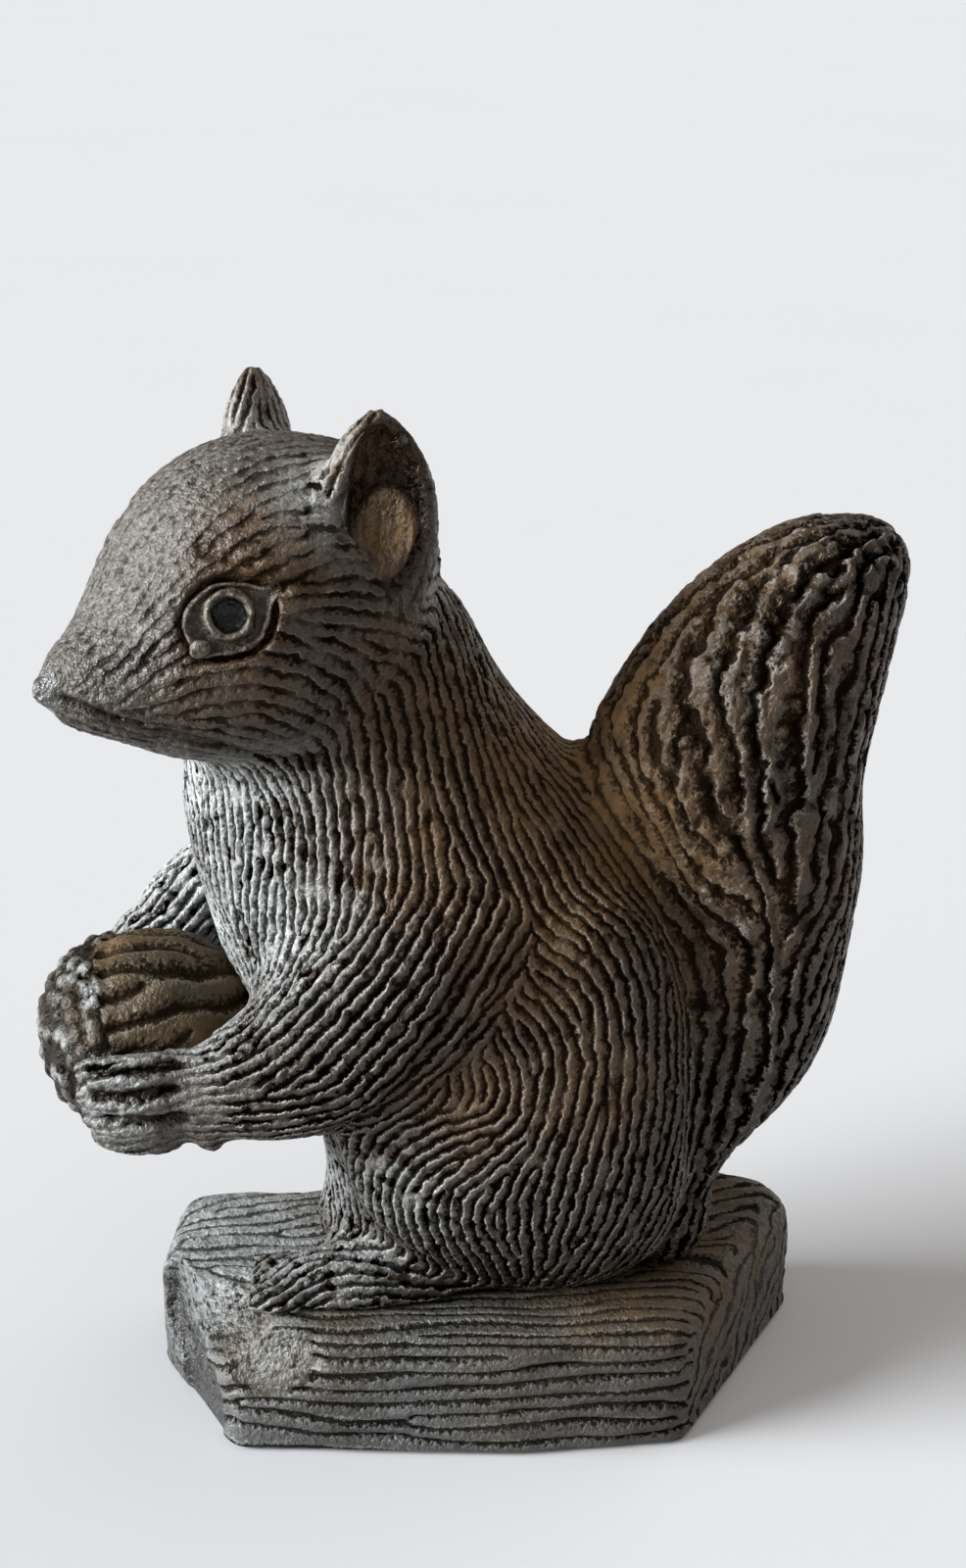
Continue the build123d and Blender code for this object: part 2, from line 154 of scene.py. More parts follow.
class Finish:
    """A material under construction, with the methods that its recipe uses."""

    def __init__(self, name):
        self.material = bpy.data.materials.new(name)
        self.material.use_nodes = True
        self.tree = self.material.node_tree
        self.shader = self.tree.nodes["Principled BSDF"]

    def node(self, kind, settings=None, inputs=None, output=0):
        made = self.tree.nodes.new(kind)
        for name, value in (settings or {}).items():
            if name == "stops":
                self.set_stops(made.color_ramp, value)
            else:
                setattr(made, name, value)
        for name, value in (inputs or {}).items():
            self.feed(made.inputs[name], value)
        return Wire(self, made.outputs[output])

    def set_stops(self, ramp, stops):
        while len(ramp.elements) < len(stops):
            ramp.elements.new(0.5)
        for element, (place, colour) in zip(ramp.elements, stops):
            element.position = place
            element.color = colour

    def feed(self, socket, value):
        if isinstance(value, Wire):
            self.tree.links.new(value.socket, socket)
        else:
            socket.default_value = value

    def give(self, name, value):
        self.feed(self.shader.inputs[name], value)

    def clamp(self, value, low=0.0, high=1.0):
        return self.node("ShaderNodeClamp", None, {"Value": value, "Min": low, "Max": high})

    def blend(self, share, first, second):
        return self.node("ShaderNodeMix", {"data_type": "RGBA"}, {0: share, 6: first, 7: second}, 2)

    def parts(self, name):
        """The three numbers that a piece's mesh keeps under one name."""
        kept = self.node("ShaderNodeAttribute", {"attribute_name": name}, None, 1)
        split = self.node("ShaderNodeSeparateXYZ", None, {0: kept})
        outputs = split.socket.node.outputs
        return Wire(self, outputs[0]), Wire(self, outputs[1]), Wire(self, outputs[2])

    def math(self, operation, value):
        return self.node("ShaderNodeMath", {"operation": operation}, {0: value})

    def bump(self, height):
        """Raise the surface by a height in millimetres."""
        settings = {"Strength": 1.0, "Distance": mm, "Height": height}
        self.give("Normal", self.node("ShaderNodeBump", None, settings))

    def spots(self, size, detail=3.0, contrast=3.0):
        """Speckle with more contrast."""
        return self.clamp(contrast * (self.speckle(size, detail) - 0.5) + 0.5)

    def speckle(self, size, detail=3.0, roughness=0.6):
        place = self.node("ShaderNodeTexCoord", None, None, 3)
        settings = {"Vector": place, "Scale": 1 / size, "Detail": detail, "Roughness": roughness}
        return self.node("ShaderNodeTexNoise", None, settings, 0)


print("finish kit ready")

# %% [markdown]
# ## Floor and light
# The real one stands on a pale table by a window on the left. A plain floor catches its shadow. The light
# is a broad soft lamp on the left and a little in front for the window, a weaker one above, and a weak one
# behind on the right, so that the back can be seen too. All are far away, so the floor is evenly lit as far
# as it can be seen. The floor is pale to the camera and in reflections, and throws less light up than such
# a table would, as the table ends close by. The rest of the room is a soft world, paler on the window's
# side. Past the floor's end the camera sees a pale wall instead.

# %% Lay the floor
floor_size = 9.0
floor_drop = 0.02 * mm
bpy.ops.object.select_all(action="DESELECT")
bpy.ops.mesh.primitive_plane_add(size=floor_size, location=(0, 0, -floor_drop))
floor = bpy.context.object
floor.name = "floor"
table = Finish("pale_table")
table_cloud = table.speckle(0.12, 2.0)
table_pale = table.blend(table_cloud, (0.71, 0.71, 0.73, 1), (0.74, 0.73, 0.74, 1))
rays = table.node("ShaderNodeLightPath").socket.node.outputs
seeing_rays = ("Is Camera Ray", "Is Glossy Ray", "Is Transmission Ray")
seen = table.clamp(sum(Wire(table, rays[name]) for name in seeing_rays))
table.give("Base Color", table.blend(seen, (0.22, 0.21, 0.20, 1), table_pale))
table.give("Roughness", 1.0)
table.give("Specular IOR Level", 0.0)
floor.data.materials.append(table.material)
print("floor laid at", -floor_drop, "m")


# %% Hang the lamps
def hang_lamp(name, place, breadth, strength, colour):
    """A far lamp that shines from a place towards the figurine and looks some degrees broad from there."""
    bpy.ops.object.select_all(action="DESELECT")
    bpy.ops.object.light_add(type="SUN", location=place)
    lamp = bpy.context.object
    lamp.name = name
    lamp.rotation_euler = Vector(place).to_track_quat("Z", "Y").to_euler()
    lamp.data.angle = math.radians(breadth)
    lamp.data.energy = strength
    lamp.data.color = colour
    return lamp


hang_lamp("window", (-0.92, -0.22, 0.32), 34, 7.2, (0.92, 0.97, 1.0))
hang_lamp("ceiling", (0.10, -0.25, 0.90), 60, 0.6, (1.0, 0.97, 0.93))
hang_lamp("far_side", (0.75, 0.60, 0.40), 70, 0.9, (1.0, 0.97, 0.94))

room_on_the_left = 0.22
room_on_the_right = 0.08
world = bpy.data.worlds.new("room")
scene.world = world
world.use_nodes = True
room_nodes, room_links = world.node_tree.nodes, world.node_tree.links
room_light = room_nodes["Background"]
room_light.inputs["Color"].default_value = (1.0, 0.96, 0.90, 1)
room_way = room_nodes.new("ShaderNodeTexCoord")
room_parts = room_nodes.new("ShaderNodeSeparateXYZ")
room_range = room_nodes.new("ShaderNodeMapRange")
for socket, value in zip(room_range.inputs[1:5], (-1.0, 1.0, room_on_the_left, room_on_the_right)):
    socket.default_value = value
room_links.new(room_way.outputs["Generated"], room_parts.inputs[0])
room_links.new(room_parts.outputs["X"], room_range.inputs["Value"])
room_links.new(room_range.outputs["Result"], room_light.inputs["Strength"])
wall = room_nodes.new("ShaderNodeBackground")
wall.inputs["Color"].default_value = (0.72, 0.73, 0.75, 1)
room_rays = room_nodes.new("ShaderNodeLightPath")
room_mix = room_nodes.new("ShaderNodeMixShader")
room_links.new(room_rays.outputs["Is Camera Ray"], room_mix.inputs[0])
room_links.new(room_light.outputs[0], room_mix.inputs[1])
room_links.new(wall.outputs[0], room_mix.inputs[2])
room_links.new(room_mix.outputs[0], room_nodes["World Output"].inputs["Surface"])

# %% [markdown]
# ## One skin over all the castings
# In the CAD model each casting is a solid of its own, with a fine glue line between neighbours. On the real
# figurine the fur runs across those joints without a step. The joints could be hidden by bump alone, but a
# fused skin is better: the copies are swollen a little so that they overlap, joined, and remeshed with
# voxels, which keeps only the outside. The nose is fused in as well, and the eyes are, to close their
# sockets. The swelling is taken off again once the joints are softened.

# %% Helpers for working on one object at a time
def only(piece):
    """Select one object and make it the active one."""
    bpy.ops.object.select_all(action="DESELECT")
    piece.select_set(True)
    bpy.context.view_layer.objects.active = piece


def finish_with(piece, kind, **settings):
    """Add a modifier to a piece and apply it."""
    modifier = piece.modifiers.new(kind.title(), kind)
    for name, value in settings.items():
        setattr(modifier, name, value)
    only(piece)
    bpy.ops.object.modifier_apply(modifier=modifier.name)


def copy_of_casting(node):
    """A merged copy of a CAD node that may be changed."""
    mesh = frame["nodes"][node].data.copy()
    mesh.materials.clear()
    piece = bpy.data.objects.new("copy_of_" + node, mesh)
    scene.collection.objects.link(piece)
    only(piece)
    bpy.ops.mesh.customdata_custom_splitnormals_clear()
    bpy.ops.object.mode_set(mode="EDIT")
    bpy.ops.mesh.select_all(action="SELECT")
    bpy.ops.mesh.remove_doubles(threshold=0.002 * mm)
    bpy.ops.object.mode_set(mode="OBJECT")
    return piece


def swell_by(piece, amount):
    """Push a piece's skin out, or in for less than nothing."""
    if amount:
        finish_with(piece, "DISPLACE", strength=amount, mid_level=0.0)


def fuse(nodes, name, voxel, swell=0.0):
    """One closed skin over the copies of several nodes."""
    copies = [copy_of_casting(node) for node in nodes]
    for piece in copies:
        swell_by(piece, swell)
    bpy.ops.object.select_all(action="DESELECT")
    for piece in copies:
        piece.select_set(True)
    bpy.context.view_layer.objects.active = copies[0]
    if len(copies) > 1:
        bpy.ops.object.join()
    skin = copies[0]
    skin.name = name
    finish_with(skin, "REMESH", mode="VOXEL", voxel_size=voxel)
    top = max(range(len(skin.data.vertices)), key=lambda i: skin.data.vertices[i].co.z)
    bpy.ops.object.mode_set(mode="EDIT")
    bpy.ops.mesh.select_mode(type="VERT")
    bpy.ops.mesh.select_all(action="DESELECT")
    bpy.ops.object.mode_set(mode="OBJECT")
    skin.data.vertices[top].select = True
    bpy.ops.object.mode_set(mode="EDIT")
    bpy.ops.mesh.select_linked()
    bpy.ops.mesh.select_all(action="INVERT")
    bpy.ops.mesh.delete(type="VERT")
    bpy.ops.object.mode_set(mode="OBJECT")
    print(name, "skin:", len(skin.data.vertices), "vertices")
    return skin


print("helpers ready")

# %% Fuse the fur castings
fur_nodes = [
    "body", "head", "left_ear", "right_ear", "left_arm", "right_arm", "left_forepaw", "right_forepaw",
    "left_haunch", "right_haunch", "left_hind_foot", "right_hind_foot", "tail", "nose",
]
socket_nodes = ["left_eye", "right_eye"]
fur_voxel = 0.42 * mm
swell = 0.40 * mm
fur = fuse(fur_nodes + socket_nodes, "fur", fur_voxel, swell)

# %% [markdown]
# ## Reading and changing a mesh as arrays
# Combing touches every vertex, so the meshes are read into arrays. A few helpers read the places, the faces
# and the normals, and smooth values over neighbours.


# %% Read meshes into arrays
def places_of(mesh):
    places = np.empty(len(mesh.vertices) * 3)
    mesh.vertices.foreach_get("co", places)
    return places.reshape(-1, 3)


def normals_of(mesh):
    normals = np.empty(len(mesh.vertices) * 3)
    mesh.vertex_normals.foreach_get("vector", normals)
    return normals.reshape(-1, 3)


def quads_of(mesh):
    corners = np.empty(len(mesh.loops), dtype=np.int64)
    mesh.loops.foreach_get("vertex_index", corners)
    return corners.reshape(-1, 4)


def links_of(quads):
    """Both directions of every edge and every diagonal of the quads."""
    pairs = np.vstack([quads[:, [a, b]] for a, b in ((0, 1), (1, 2), (2, 3), (3, 0), (0, 2), (1, 3))])
    pairs = np.unique(np.sort(pairs, axis=1), axis=0)
    return np.concatenate([pairs[:, 0], pairs[:, 1]]), np.concatenate([pairs[:, 1], pairs[:, 0]])


def mean_of_neighbours(values, here, there, count):
    """The mean of each vertex's neighbours, for one or more values a vertex."""
    columns = values.reshape(count, -1)
    sums = [np.bincount(here, columns[there, k], count) for k in range(columns.shape[1])]
    ties = np.bincount(here, minlength=count)
    return (np.stack(sums, axis=1) / ties[:, None]).reshape(values.shape)


def put_places(mesh, places):
    mesh.vertices.foreach_set("co", places.ravel())
    mesh.update()


def unit(vectors):
    return vectors / np.maximum(np.linalg.norm(vectors, axis=-1, keepdims=True), 1e-12)


def ease(values, low, high):
    """A smooth rise from nothing at one value to one at another."""
    share = np.clip((values - low) / (high - low), 0, 1)
    return share * share * (3 - 2 * share)


print("fur quads:", len(fur.data.polygons))


# %% Say which casting each part of the skin belongs to
def tree_of(nodes):
    """A search tree over CAD nodes, and the node of each of its triangles."""
    corners, triangles, owners = [], [], []
    for order, node in enumerate(nodes):
        mesh = frame["nodes"][node].data
        first = len(corners)
        corners.extend(v.co.copy() for v in mesh.vertices)
        triangles.extend([first + i for i in face.vertices] for face in mesh.polygons)
        owners.extend([order] * len(mesh.polygons))
    return BVHTree.FromPolygons(corners, triangles), owners


def owners_of(points, nodes):
    tree, owners = tree_of(nodes)
    return np.array([owners[tree.find_nearest(Vector(p))[2]] for p in points])


fur_quads = quads_of(fur.data)
fur_places = places_of(fur.data)
owner_nodes = fur_nodes + socket_nodes
face_owner = owners_of(fur_places[fur_quads].mean(axis=1), owner_nodes)
for socket in socket_nodes:
    face_owner[face_owner == owner_nodes.index(socket)] = fur_nodes.index("head")
print({node: int((face_owner == k).sum()) for k, node in enumerate(fur_nodes)})


# %% Clear stray patches, so that each casting is one patch of skin
def face_neighbours(quads):
    """Pairs of quads that share an edge."""
    edges = np.vstack([quads[:, [a, b]] for a, b in ((0, 1), (1, 2), (2, 3), (3, 0))])
    edges = np.sort(edges, axis=1)
    faces = np.tile(np.arange(len(quads)), 4)
    order = np.lexsort((edges[:, 1], edges[:, 0]))
    edges, faces = edges[order], faces[order]
    same = np.all(edges[1:] == edges[:-1], axis=1)
    return faces[:-1][same], faces[1:][same]


def patches(owner, left, right):
    """A number for each patch of touching faces that have one owner."""
    number = np.arange(len(owner))
    inside = owner[left] == owner[right]
    a, b = left[inside], right[inside]
    while True:
        least = np.minimum(number[a], number[b])
        before = number.copy()
        np.minimum.at(number, a, least)
        np.minimum.at(number, b, least)
        number = number[number]
        if np.array_equal(before, number):
            return number


def clear_strays(owner, quads):
    left, right = face_neighbours(quads)
    for _ in range(4):
        number = patches(owner, left, right)
        sizes = np.bincount(number, minlength=len(owner))
        stray = np.zeros(len(owner), bool)
        for k in np.unique(owner):
            mine = owner == k
            stray |= mine & (number != np.bincount(number[mine]).argmax())
        for a, b in ((left, right), (right, left)):
            take = stray[a] & ~stray[b]
            owner[a[take]] = owner[b[take]]
            stray[a[take]] = False
    return owner


face_owner = clear_strays(face_owner, fur_quads)
print({node: int((face_owner == k).sum()) for k, node in enumerate(fur_nodes)})

# %% [markdown]
# ## Softening the joints
# Where an arm or a haunch leaves the body, the real casting flows into it like modelling clay. Smoothing
# the whole skin would blur the ears and fingers, so each vertex gets a softness: high near a joint, low
# away from it, and less at the joints of the small parts. Sharp pits are filled wherever they are.

# %% Soften the skin where castings meet
joint_softness = {"ear": 0.35, "forepaw": 0.45, "hind_foot": 0.4, "tail": 0.8, "nose": 0.5}
joint_reach = 14
joint_rounds = 80
overall_softness = 0.15


def softness_of_joints(owner, quads, count):
    """How soft each vertex is: a joint's own softness, fading over a few neighbours."""
    soft = np.zeros(count)
    names = [node.replace("left_", "").replace("right_", "") for node in fur_nodes]
    least = np.array([joint_softness.get(name, 1.0) for name in names])
    low = np.full(count, len(fur_nodes))
    high = np.full(count, -1)
    strength = np.ones(count)
    for k in range(4):
        np.minimum.at(low, quads[:, k], owner)
        np.maximum.at(high, quads[:, k], owner)
        np.minimum.at(strength, quads[:, k], least[owner])
    soft[high > low] = strength[high > low]
    here, there = links_of(quads)
    for _ in range(joint_reach):
        soft = np.maximum(soft, 0.5 * soft + 0.5 * mean_of_neighbours(soft, here, there, count))
    soft = np.minimum(1, 1.6 * soft)
    return soft


count = len(fur_places)
here, there = links_of(fur_quads)
first_normals = normals_of(fur.data)
softness = softness_of_joints(face_owner, fur_quads, count)[:, None] * 0.5
for step in range(joint_rounds):
    middle = mean_of_neighbours(fur_places, here, there, count)
    share = softness if step else softness + overall_softness
    dip = ((middle - fur_places) * first_normals).sum(axis=1)
    share = np.maximum(share, 0.5 * ease(dip, 0.03 * mm, 0.08 * mm)[:, None])
    fur_places += share * (middle - fur_places)
put_places(fur.data, fur_places)
swell_by(fur, -swell)
fur_places = places_of(fur.data)
print("softened", int((softness > 0.1).sum()), "of", count, "vertices")

# %% [markdown]
# ## Strokes of the comb
# A modeller would comb the clay with a toothed tool, stroke by stroke. Each stroke below is a line over the
# photograph, given by a few of its pixels, with the width from ridge to ridge and the depth of the comb
# there. A line of sight through each pixel meets the skin, and that is where the stroke lies. The far side
# gets the same strokes mirrored. A stroke of no depth leaves the clay plain.

# %% Strokes on the head and the ears
head_strokes = [
    (0.955, 0.028, ((60, 678), (100, 620), (140, 560), (185, 500), (240, 455), (300, 445))),
    (0.955, 0.028, ((90, 690), (125, 640), (160, 590), (190, 545), (225, 505))),
    (1.04, 0.14, ((100, 700), (125, 660), (155, 625), (178, 600))),
    (1.04, 0.17, ((120, 705), (150, 680), (172, 655))),
    (1.13, 0.18, ((140, 715), (170, 690), (205, 672), (235, 668))),
    (1.21, 0.2, ((170, 712), (215, 702), (260, 697), (300, 705), (330, 725), (350, 755))),
    (1.21, 0.2, ((175, 730), (225, 722), (270, 724), (310, 738), (335, 760))),
    (1.21, 0.2, ((285, 668), (315, 680), (345, 705), (362, 745))),
    (1.13, 0.15, ((290, 602), (320, 592), (350, 588))),
    (1.13, 0.15, ((300, 625), (325, 622), (352, 625))),
    (1.13, 0.15, ((300, 648), (330, 655), (352, 672))),
    (1.3, 0.17, ((215, 565), (245, 540), (275, 522), (310, 510))),
    (1.3, 0.17, ((235, 575), (265, 555), (300, 545), (345, 540))),
    (1.21, 0.14, ((245, 480), (280, 468), (320, 462))),
    (1.21, 0.14, ((230, 520), (265, 500), (300, 488))),
    (0.869, 0.07, ((85, 712), (120, 738), (160, 748), (200, 755), (250, 768), (295, 785))),
]
ear_strokes = [
    (0.941, 0.22, ((368, 432), (345, 455), (322, 482), (305, 510))),
    (0.941, 0.17, ((360, 450), (340, 480), (320, 520))),
    (0.941, 0.048, ((420, 440), (435, 480), (440, 530), (435, 570))),
    (0.941, 0.048, ((395, 440), (400, 500), (395, 560))),
    (0.941, 0.23, ((240, 388), (222, 415), (206, 440))),
    (0.941, 0.23, ((258, 385), (250, 415), (245, 440))),
    (0.941, 0.16, ((270, 385), (280, 415), (290, 435))),
]
print(len(head_strokes), "strokes on the head,", len(ear_strokes), "on the ears")

# %% Strokes on the trunk
trunk_strokes = [
    (1.01, 0.35, ((362, 640), (370, 700), (376, 760), (382, 815))),
    (1.01, 0.38, ((400, 615), (410, 680), (422, 750), (430, 815))),
    (1.01, 0.35, ((440, 560), (455, 640), (474, 720), (490, 790), (510, 850))),
    (0.927, 0.32, ((462, 580), (485, 650), (515, 730), (550, 800), (590, 860))),
    (0.927, 0.2, ((520, 735), (560, 800), (605, 850), (650, 910), (690, 970))),
    (0.854, 0.3, ((182, 770), (194, 810), (198, 860), (205, 905), (225, 950), (240, 985))),
    (0.854, 0.3, ((205, 765), (222, 800), (228, 850), (232, 900), (240, 940))),
    (0.854, 0.35, ((240, 770), (258, 800), (264, 850), (262, 890), (250, 930))),
    (0.854, 0.35, ((275, 775), (296, 805), (302, 850), (300, 890))),
    (0.854, 0.35, ((325, 800), (330, 840), (330, 880))),
    (0.927, 0.38, ((365, 815), (372, 850), (372, 900))),
    (0.927, 0.38, ((398, 820), (402, 860), (398, 905))),
    (1.01, 0.35, ((430, 830), (432, 870), (430, 910))),
    (1.01, 0.35, ((470, 840), (485, 880), (505, 915))),
    (0.927, 0.35, ((520, 900), (550, 950), (580, 1000), (590, 1035))),
    (0.927, 0.35, ((560, 880), (595, 940), (620, 1000), (630, 1040))),
    (0.927, 0.3, ((620, 890), (655, 950), (680, 1010), (690, 1060))),
    (0.774, 0.25, ((200, 757), (240, 775), (280, 800), (300, 820))),
]
arm_strokes = [
    (1.04, 0.4, ((302, 905), (275, 950), (254, 1000), (240, 1045))),
    (1.04, 0.43, ((345, 890), (322, 945), (292, 995), (260, 1040), (232, 1070))),
    (1.07, 0.43, ((400, 915), (372, 962), (332, 1012), (292, 1060), (245, 1100))),
    (1.07, 0.43, ((450, 935), (420, 990), (372, 1042), (322, 1090), (282, 1108))),
    (1.07, 0.38, ((485, 955), (452, 1010), (412, 1060), (372, 1102), (345, 1128))),
    (0.984, 0.32, ((345, 1132), (300, 1138), (255, 1138), (215, 1134))),
    (0.984, 0.25, ((235, 1048), (205, 1058), (175, 1066))),
    (0.984, 0.063, ((225, 1100), (190, 1110), (150, 1125))),
    (0.984, 0.063, ((225, 1135), (190, 1140), (160, 1142))),
]
print(len(trunk_strokes), "strokes on the trunk,", len(arm_strokes), "on the arm")

# %% Strokes on the haunch and the foot
haunch_strokes = [
    (1.1, 0.38, ((485, 966), (530, 976), (572, 996), (600, 1030), (606, 1080))),
    (1.01, 0.38, ((470, 1000), (515, 1012), (550, 1034), (574, 1075), (572, 1120))),
    (0.918, 0.32, ((440, 1046), (475, 1046), (505, 1064), (525, 1100), (520, 1140))),
    (0.918, 0.28, ((412, 1085), (440, 1082), (468, 1095), (480, 1125))),
    (0.968, 0.43, ((500, 1142), (450, 1152), (405, 1170), (380, 1205), (388, 1248), (408, 1280))),
    (0.968, 0.43, ((520, 1160), (470, 1178), (428, 1202), (418, 1232), (432, 1268))),
    (0.968, 0.43, ((545, 1165), (505, 1195), (470, 1225), (478, 1255), (500, 1280))),
    (0.968, 0.35, ((375, 1150), (366, 1190), (372, 1240))),
    (1.01, 0.35, ((606, 1080), (598, 1140), (580, 1200), (575, 1250))),
    (1.01, 0.32, ((642, 1030), (650, 1090), (642, 1150), (628, 1210), (608, 1262))),
    (1.01, 0.28, ((682, 1050), (680, 1130), (662, 1215), (640, 1258))),
    (1.01, 0.32, ((560, 1090), (560, 1135), (545, 1180), (525, 1225), (530, 1270))),
]
foot_strokes = [
    (1.04, 0.32, ((405, 1292), (350, 1278), (310, 1280), (290, 1305))),
    (1.04, 0.32, ((420, 1310), (370, 1305), (325, 1310), (300, 1335))),
    (1.04, 0.14, ((345, 1235), (310, 1245), (275, 1262))),
]
print(len(haunch_strokes), "strokes on the haunch,", len(foot_strokes), "on the foot")

# %% Strokes on the tail
tail_strokes = [
    (2.06, 0.53, ((885, 532), (810, 552), (748, 584), (695, 634), (652, 696), (628, 755))),
    (2.37, 0.7, ((880, 552), (830, 580), (790, 625), (772, 690), (778, 745), (792, 792))),
    (2.37, 0.7, ((850, 540), (772, 592), (736, 660), (742, 740), (754, 790), (752, 830))),
    (2.37, 0.63, ((800, 560), (720, 622), (690, 690), (704, 760), (728, 838))),
    (1.96, 0.57, ((898, 580), (862, 600), (846, 680), (836, 760), (826, 850), (815, 910))),
    (1.34, 0.38, ((918, 580), (902, 680), (886, 760), (876, 850), (868, 930), (850, 1000), (828, 1060))),
    (2.06, 0.57, ((660, 790), (690, 830), (735, 878), (772, 920), (795, 955))),
    (1.86, 0.46, ((718, 922), (756, 934), (776, 975), (772, 1050), (752, 1120), (738, 1168))),
    (1.65, 0.38, ((858, 930), (812, 966), (796, 1040), (782, 1105))),
    (1.44, 0.3, ((700, 985), (718, 1050), (722, 1120), (716, 1165))),
    (1.55, 0.17, ((610, 745), (640, 780), (660, 830), (690, 880))),
]
print(len(tail_strokes), "strokes on the tail")


# %% Lay the strokes on the skin
class Strokes:
    """Samples of strokes on a skin: places, directions, widths and depths."""

    def __init__(self):
        self.places, self.ways, self.widths, self.depths = [], [], [], []

    def add(self, place, way, width, depth):
        self.places.append(place)
        self.ways.append(way)
        self.widths.append(width * mm)
        self.depths.append(depth * mm)

    def arrays(self):
        return [np.array(part) for part in (self.places, self.ways, self.widths, self.depths)]


def tree_of_skin(piece):
    return BVHTree.FromObject(piece, bpy.context.evaluated_depsgraph_get())


def points_under(tree, pixels, pixel_step=7):
    """Where the lines of sight along a path of pixels meet the skin."""
    points = []
    for (x0, y0), (x1, y1) in zip(pixels, pixels[1:]):
        steps = max(1, round(math.hypot(x1 - x0, y1 - y0) / pixel_step))
        for k in range(steps):
            pixel = (x0 + (x1 - x0) * k / steps, y0 + (y1 - y0) * k / steps)
            hit = tree.ray_cast(camera_place, line_of_sight(pixel))[0]
            if hit is not None:
                points.append(np.array(hit))
    return points


def mirrored(points, middle, side):
    return points - 2 * ((points - middle) @ side)[..., None] * side


def lay_strokes(tree, table, middle, side):
    laid = Strokes()
    for width, depth, pixels in table:
        points = points_under(tree, pixels)
        for before, after in zip(points, points[1:]):
            way = after - before
            length = np.linalg.norm(way)
            if length < 4 * mm:
                laid.add((before + after) / 2, way / max(length, 1e-9), width, depth)
    places, ways, widths, depths = laid.arrays()
    return (
        np.vstack([places, mirrored(places, middle, side)]),
        np.vstack([ways, mirrored(ways, np.zeros(3), side)]),
        np.concatenate([widths, widths]),
        np.concatenate([depths, depths]),
    )


def middle_of(node):
    low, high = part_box(node)
    return np.array((low + high) / 2)


fur_tree = tree_of_skin(fur)
body_middle, body_side = np.zeros(3), np.array((0.0, 1.0, 0.0))
head_middle = (middle_of("left_eye") + middle_of("right_eye")) / 2
head_side = unit(middle_of("left_eye") - middle_of("right_eye"))
groups = {
    "head": lay_strokes(fur_tree, head_strokes, head_middle, head_side),
    "ear": lay_strokes(fur_tree, ear_strokes, head_middle, head_side),
    "body": lay_strokes(fur_tree, trunk_strokes, body_middle, body_side),
    "arm": lay_strokes(fur_tree, arm_strokes, body_middle, body_side),
    "haunch": lay_strokes(fur_tree, haunch_strokes, body_middle, body_side),
    "hind_foot": lay_strokes(fur_tree, foot_strokes, body_middle, body_side),
    "tail": lay_strokes(fur_tree, tail_strokes, body_middle, body_side),
}
groups["forepaw"] = groups["arm"]
groups["nose"] = groups["head"]
print({name: len(group[0]) for name, group in groups.items()})

# %% [markdown]
# ## From strokes to a field
# Between the strokes the comb turns gently from one to the next. Each vertex takes a mean of the strokes of
# its own casting, the near ones counting most, and then the field is smoothed across the joints.

# %% Spread the strokes over the skin
stroke_blur = 1.6 * mm
field_rounds = 8


def spread(points, group, batch=3000):
    """The direction, width and depth of the comb at each point."""
    places, ways, widths, depths = group
    values = np.hstack([ways, widths[:, None], depths[:, None]])
    out = np.empty((len(points), 5))
    for first in range(0, len(points), batch):
        some = points[first:first + batch]
        apart = ((some[:, None, :] - places[None]) ** 2).sum(axis=2)
        weight = 1 / (apart + stroke_blur ** 2) ** 2
        out[first:first + batch] = (weight @ values) / weight.sum(axis=1, keepdims=True)
    return out


def flat_on_skin(ways, normals):
    """Directions pressed flat on the skin, of length one."""
    return unit(ways - (ways * normals).sum(axis=1, keepdims=True) * normals)


def owner_of_vertices(owner, quads, count):
    mine = np.zeros(count, dtype=np.int64)
    for k in range(4):
        mine[quads[:, k]] = owner
    return mine


fur_normals = normals_of(fur.data)
vertex_owner = owner_of_vertices(face_owner, fur_quads, count)
field = np.empty((count, 5))
for k, node in enumerate(fur_nodes):
    mine = vertex_owner == k
    field[mine] = spread(fur_places[mine], groups[node.replace("left_", "").replace("right_", "")])
for _ in range(field_rounds):
    field = 0.5 * field + 0.5 * mean_of_neighbours(field, here, there, count)
field[:, :3] = flat_on_skin(field[:, :3], fur_normals)
print("widths", field[:, 3].min() / mm, "to", field[:, 3].max() / mm, "mm")

# %% [markdown]
# ## Ridges that follow the field
# Straight stripes would break wherever the comb turns. Fingerprints show the better way: each spot only
# agrees with its neighbours about how far along the ridge pattern it is. Here that is an angle at each
# vertex, kept as a complex number. It starts at random and is averaged with its neighbours, each turned by
# the distance between them across the comb, until long ridges have grown, with a fork here and there.

# %% Grow the ridges
chance = np.random.default_rng(11)


def grow_ridges(angle, places, normals, ways, widths, here, there, rounds):
    """Let the angles of neighbours agree, round by round."""
    count = len(places)
    across = np.cross(normals, ways) * (2 * np.pi / widths)[:, None]
    turn = ((places[here] - places[there]) * (across[here] + across[there]) / 2).sum(axis=1)
    turned = np.exp(1j * turn)
    for _ in range(rounds):
        pull = angle[there] * turned
        angle = np.bincount(here, pull.real, count) + 1j * np.bincount(here, pull.imag, count)
        angle /= np.maximum(np.abs(angle), 1e-12)
    return angle


rough_rounds = 140
fine_rounds = 30
angle = np.exp(2j * np.pi * chance.random(count))
angle = grow_ridges(angle, fur_places, fur_normals, field[:, :3], field[:, 3], here, there, rough_rounds)
print("ridges grown on", count, "vertices")


# %% Refine the skin and the ridges
def keep_on_faces(mesh, name, values):
    mesh.attributes.new(name, "INT", "FACE").data.foreach_set("value", values.astype(np.int32))


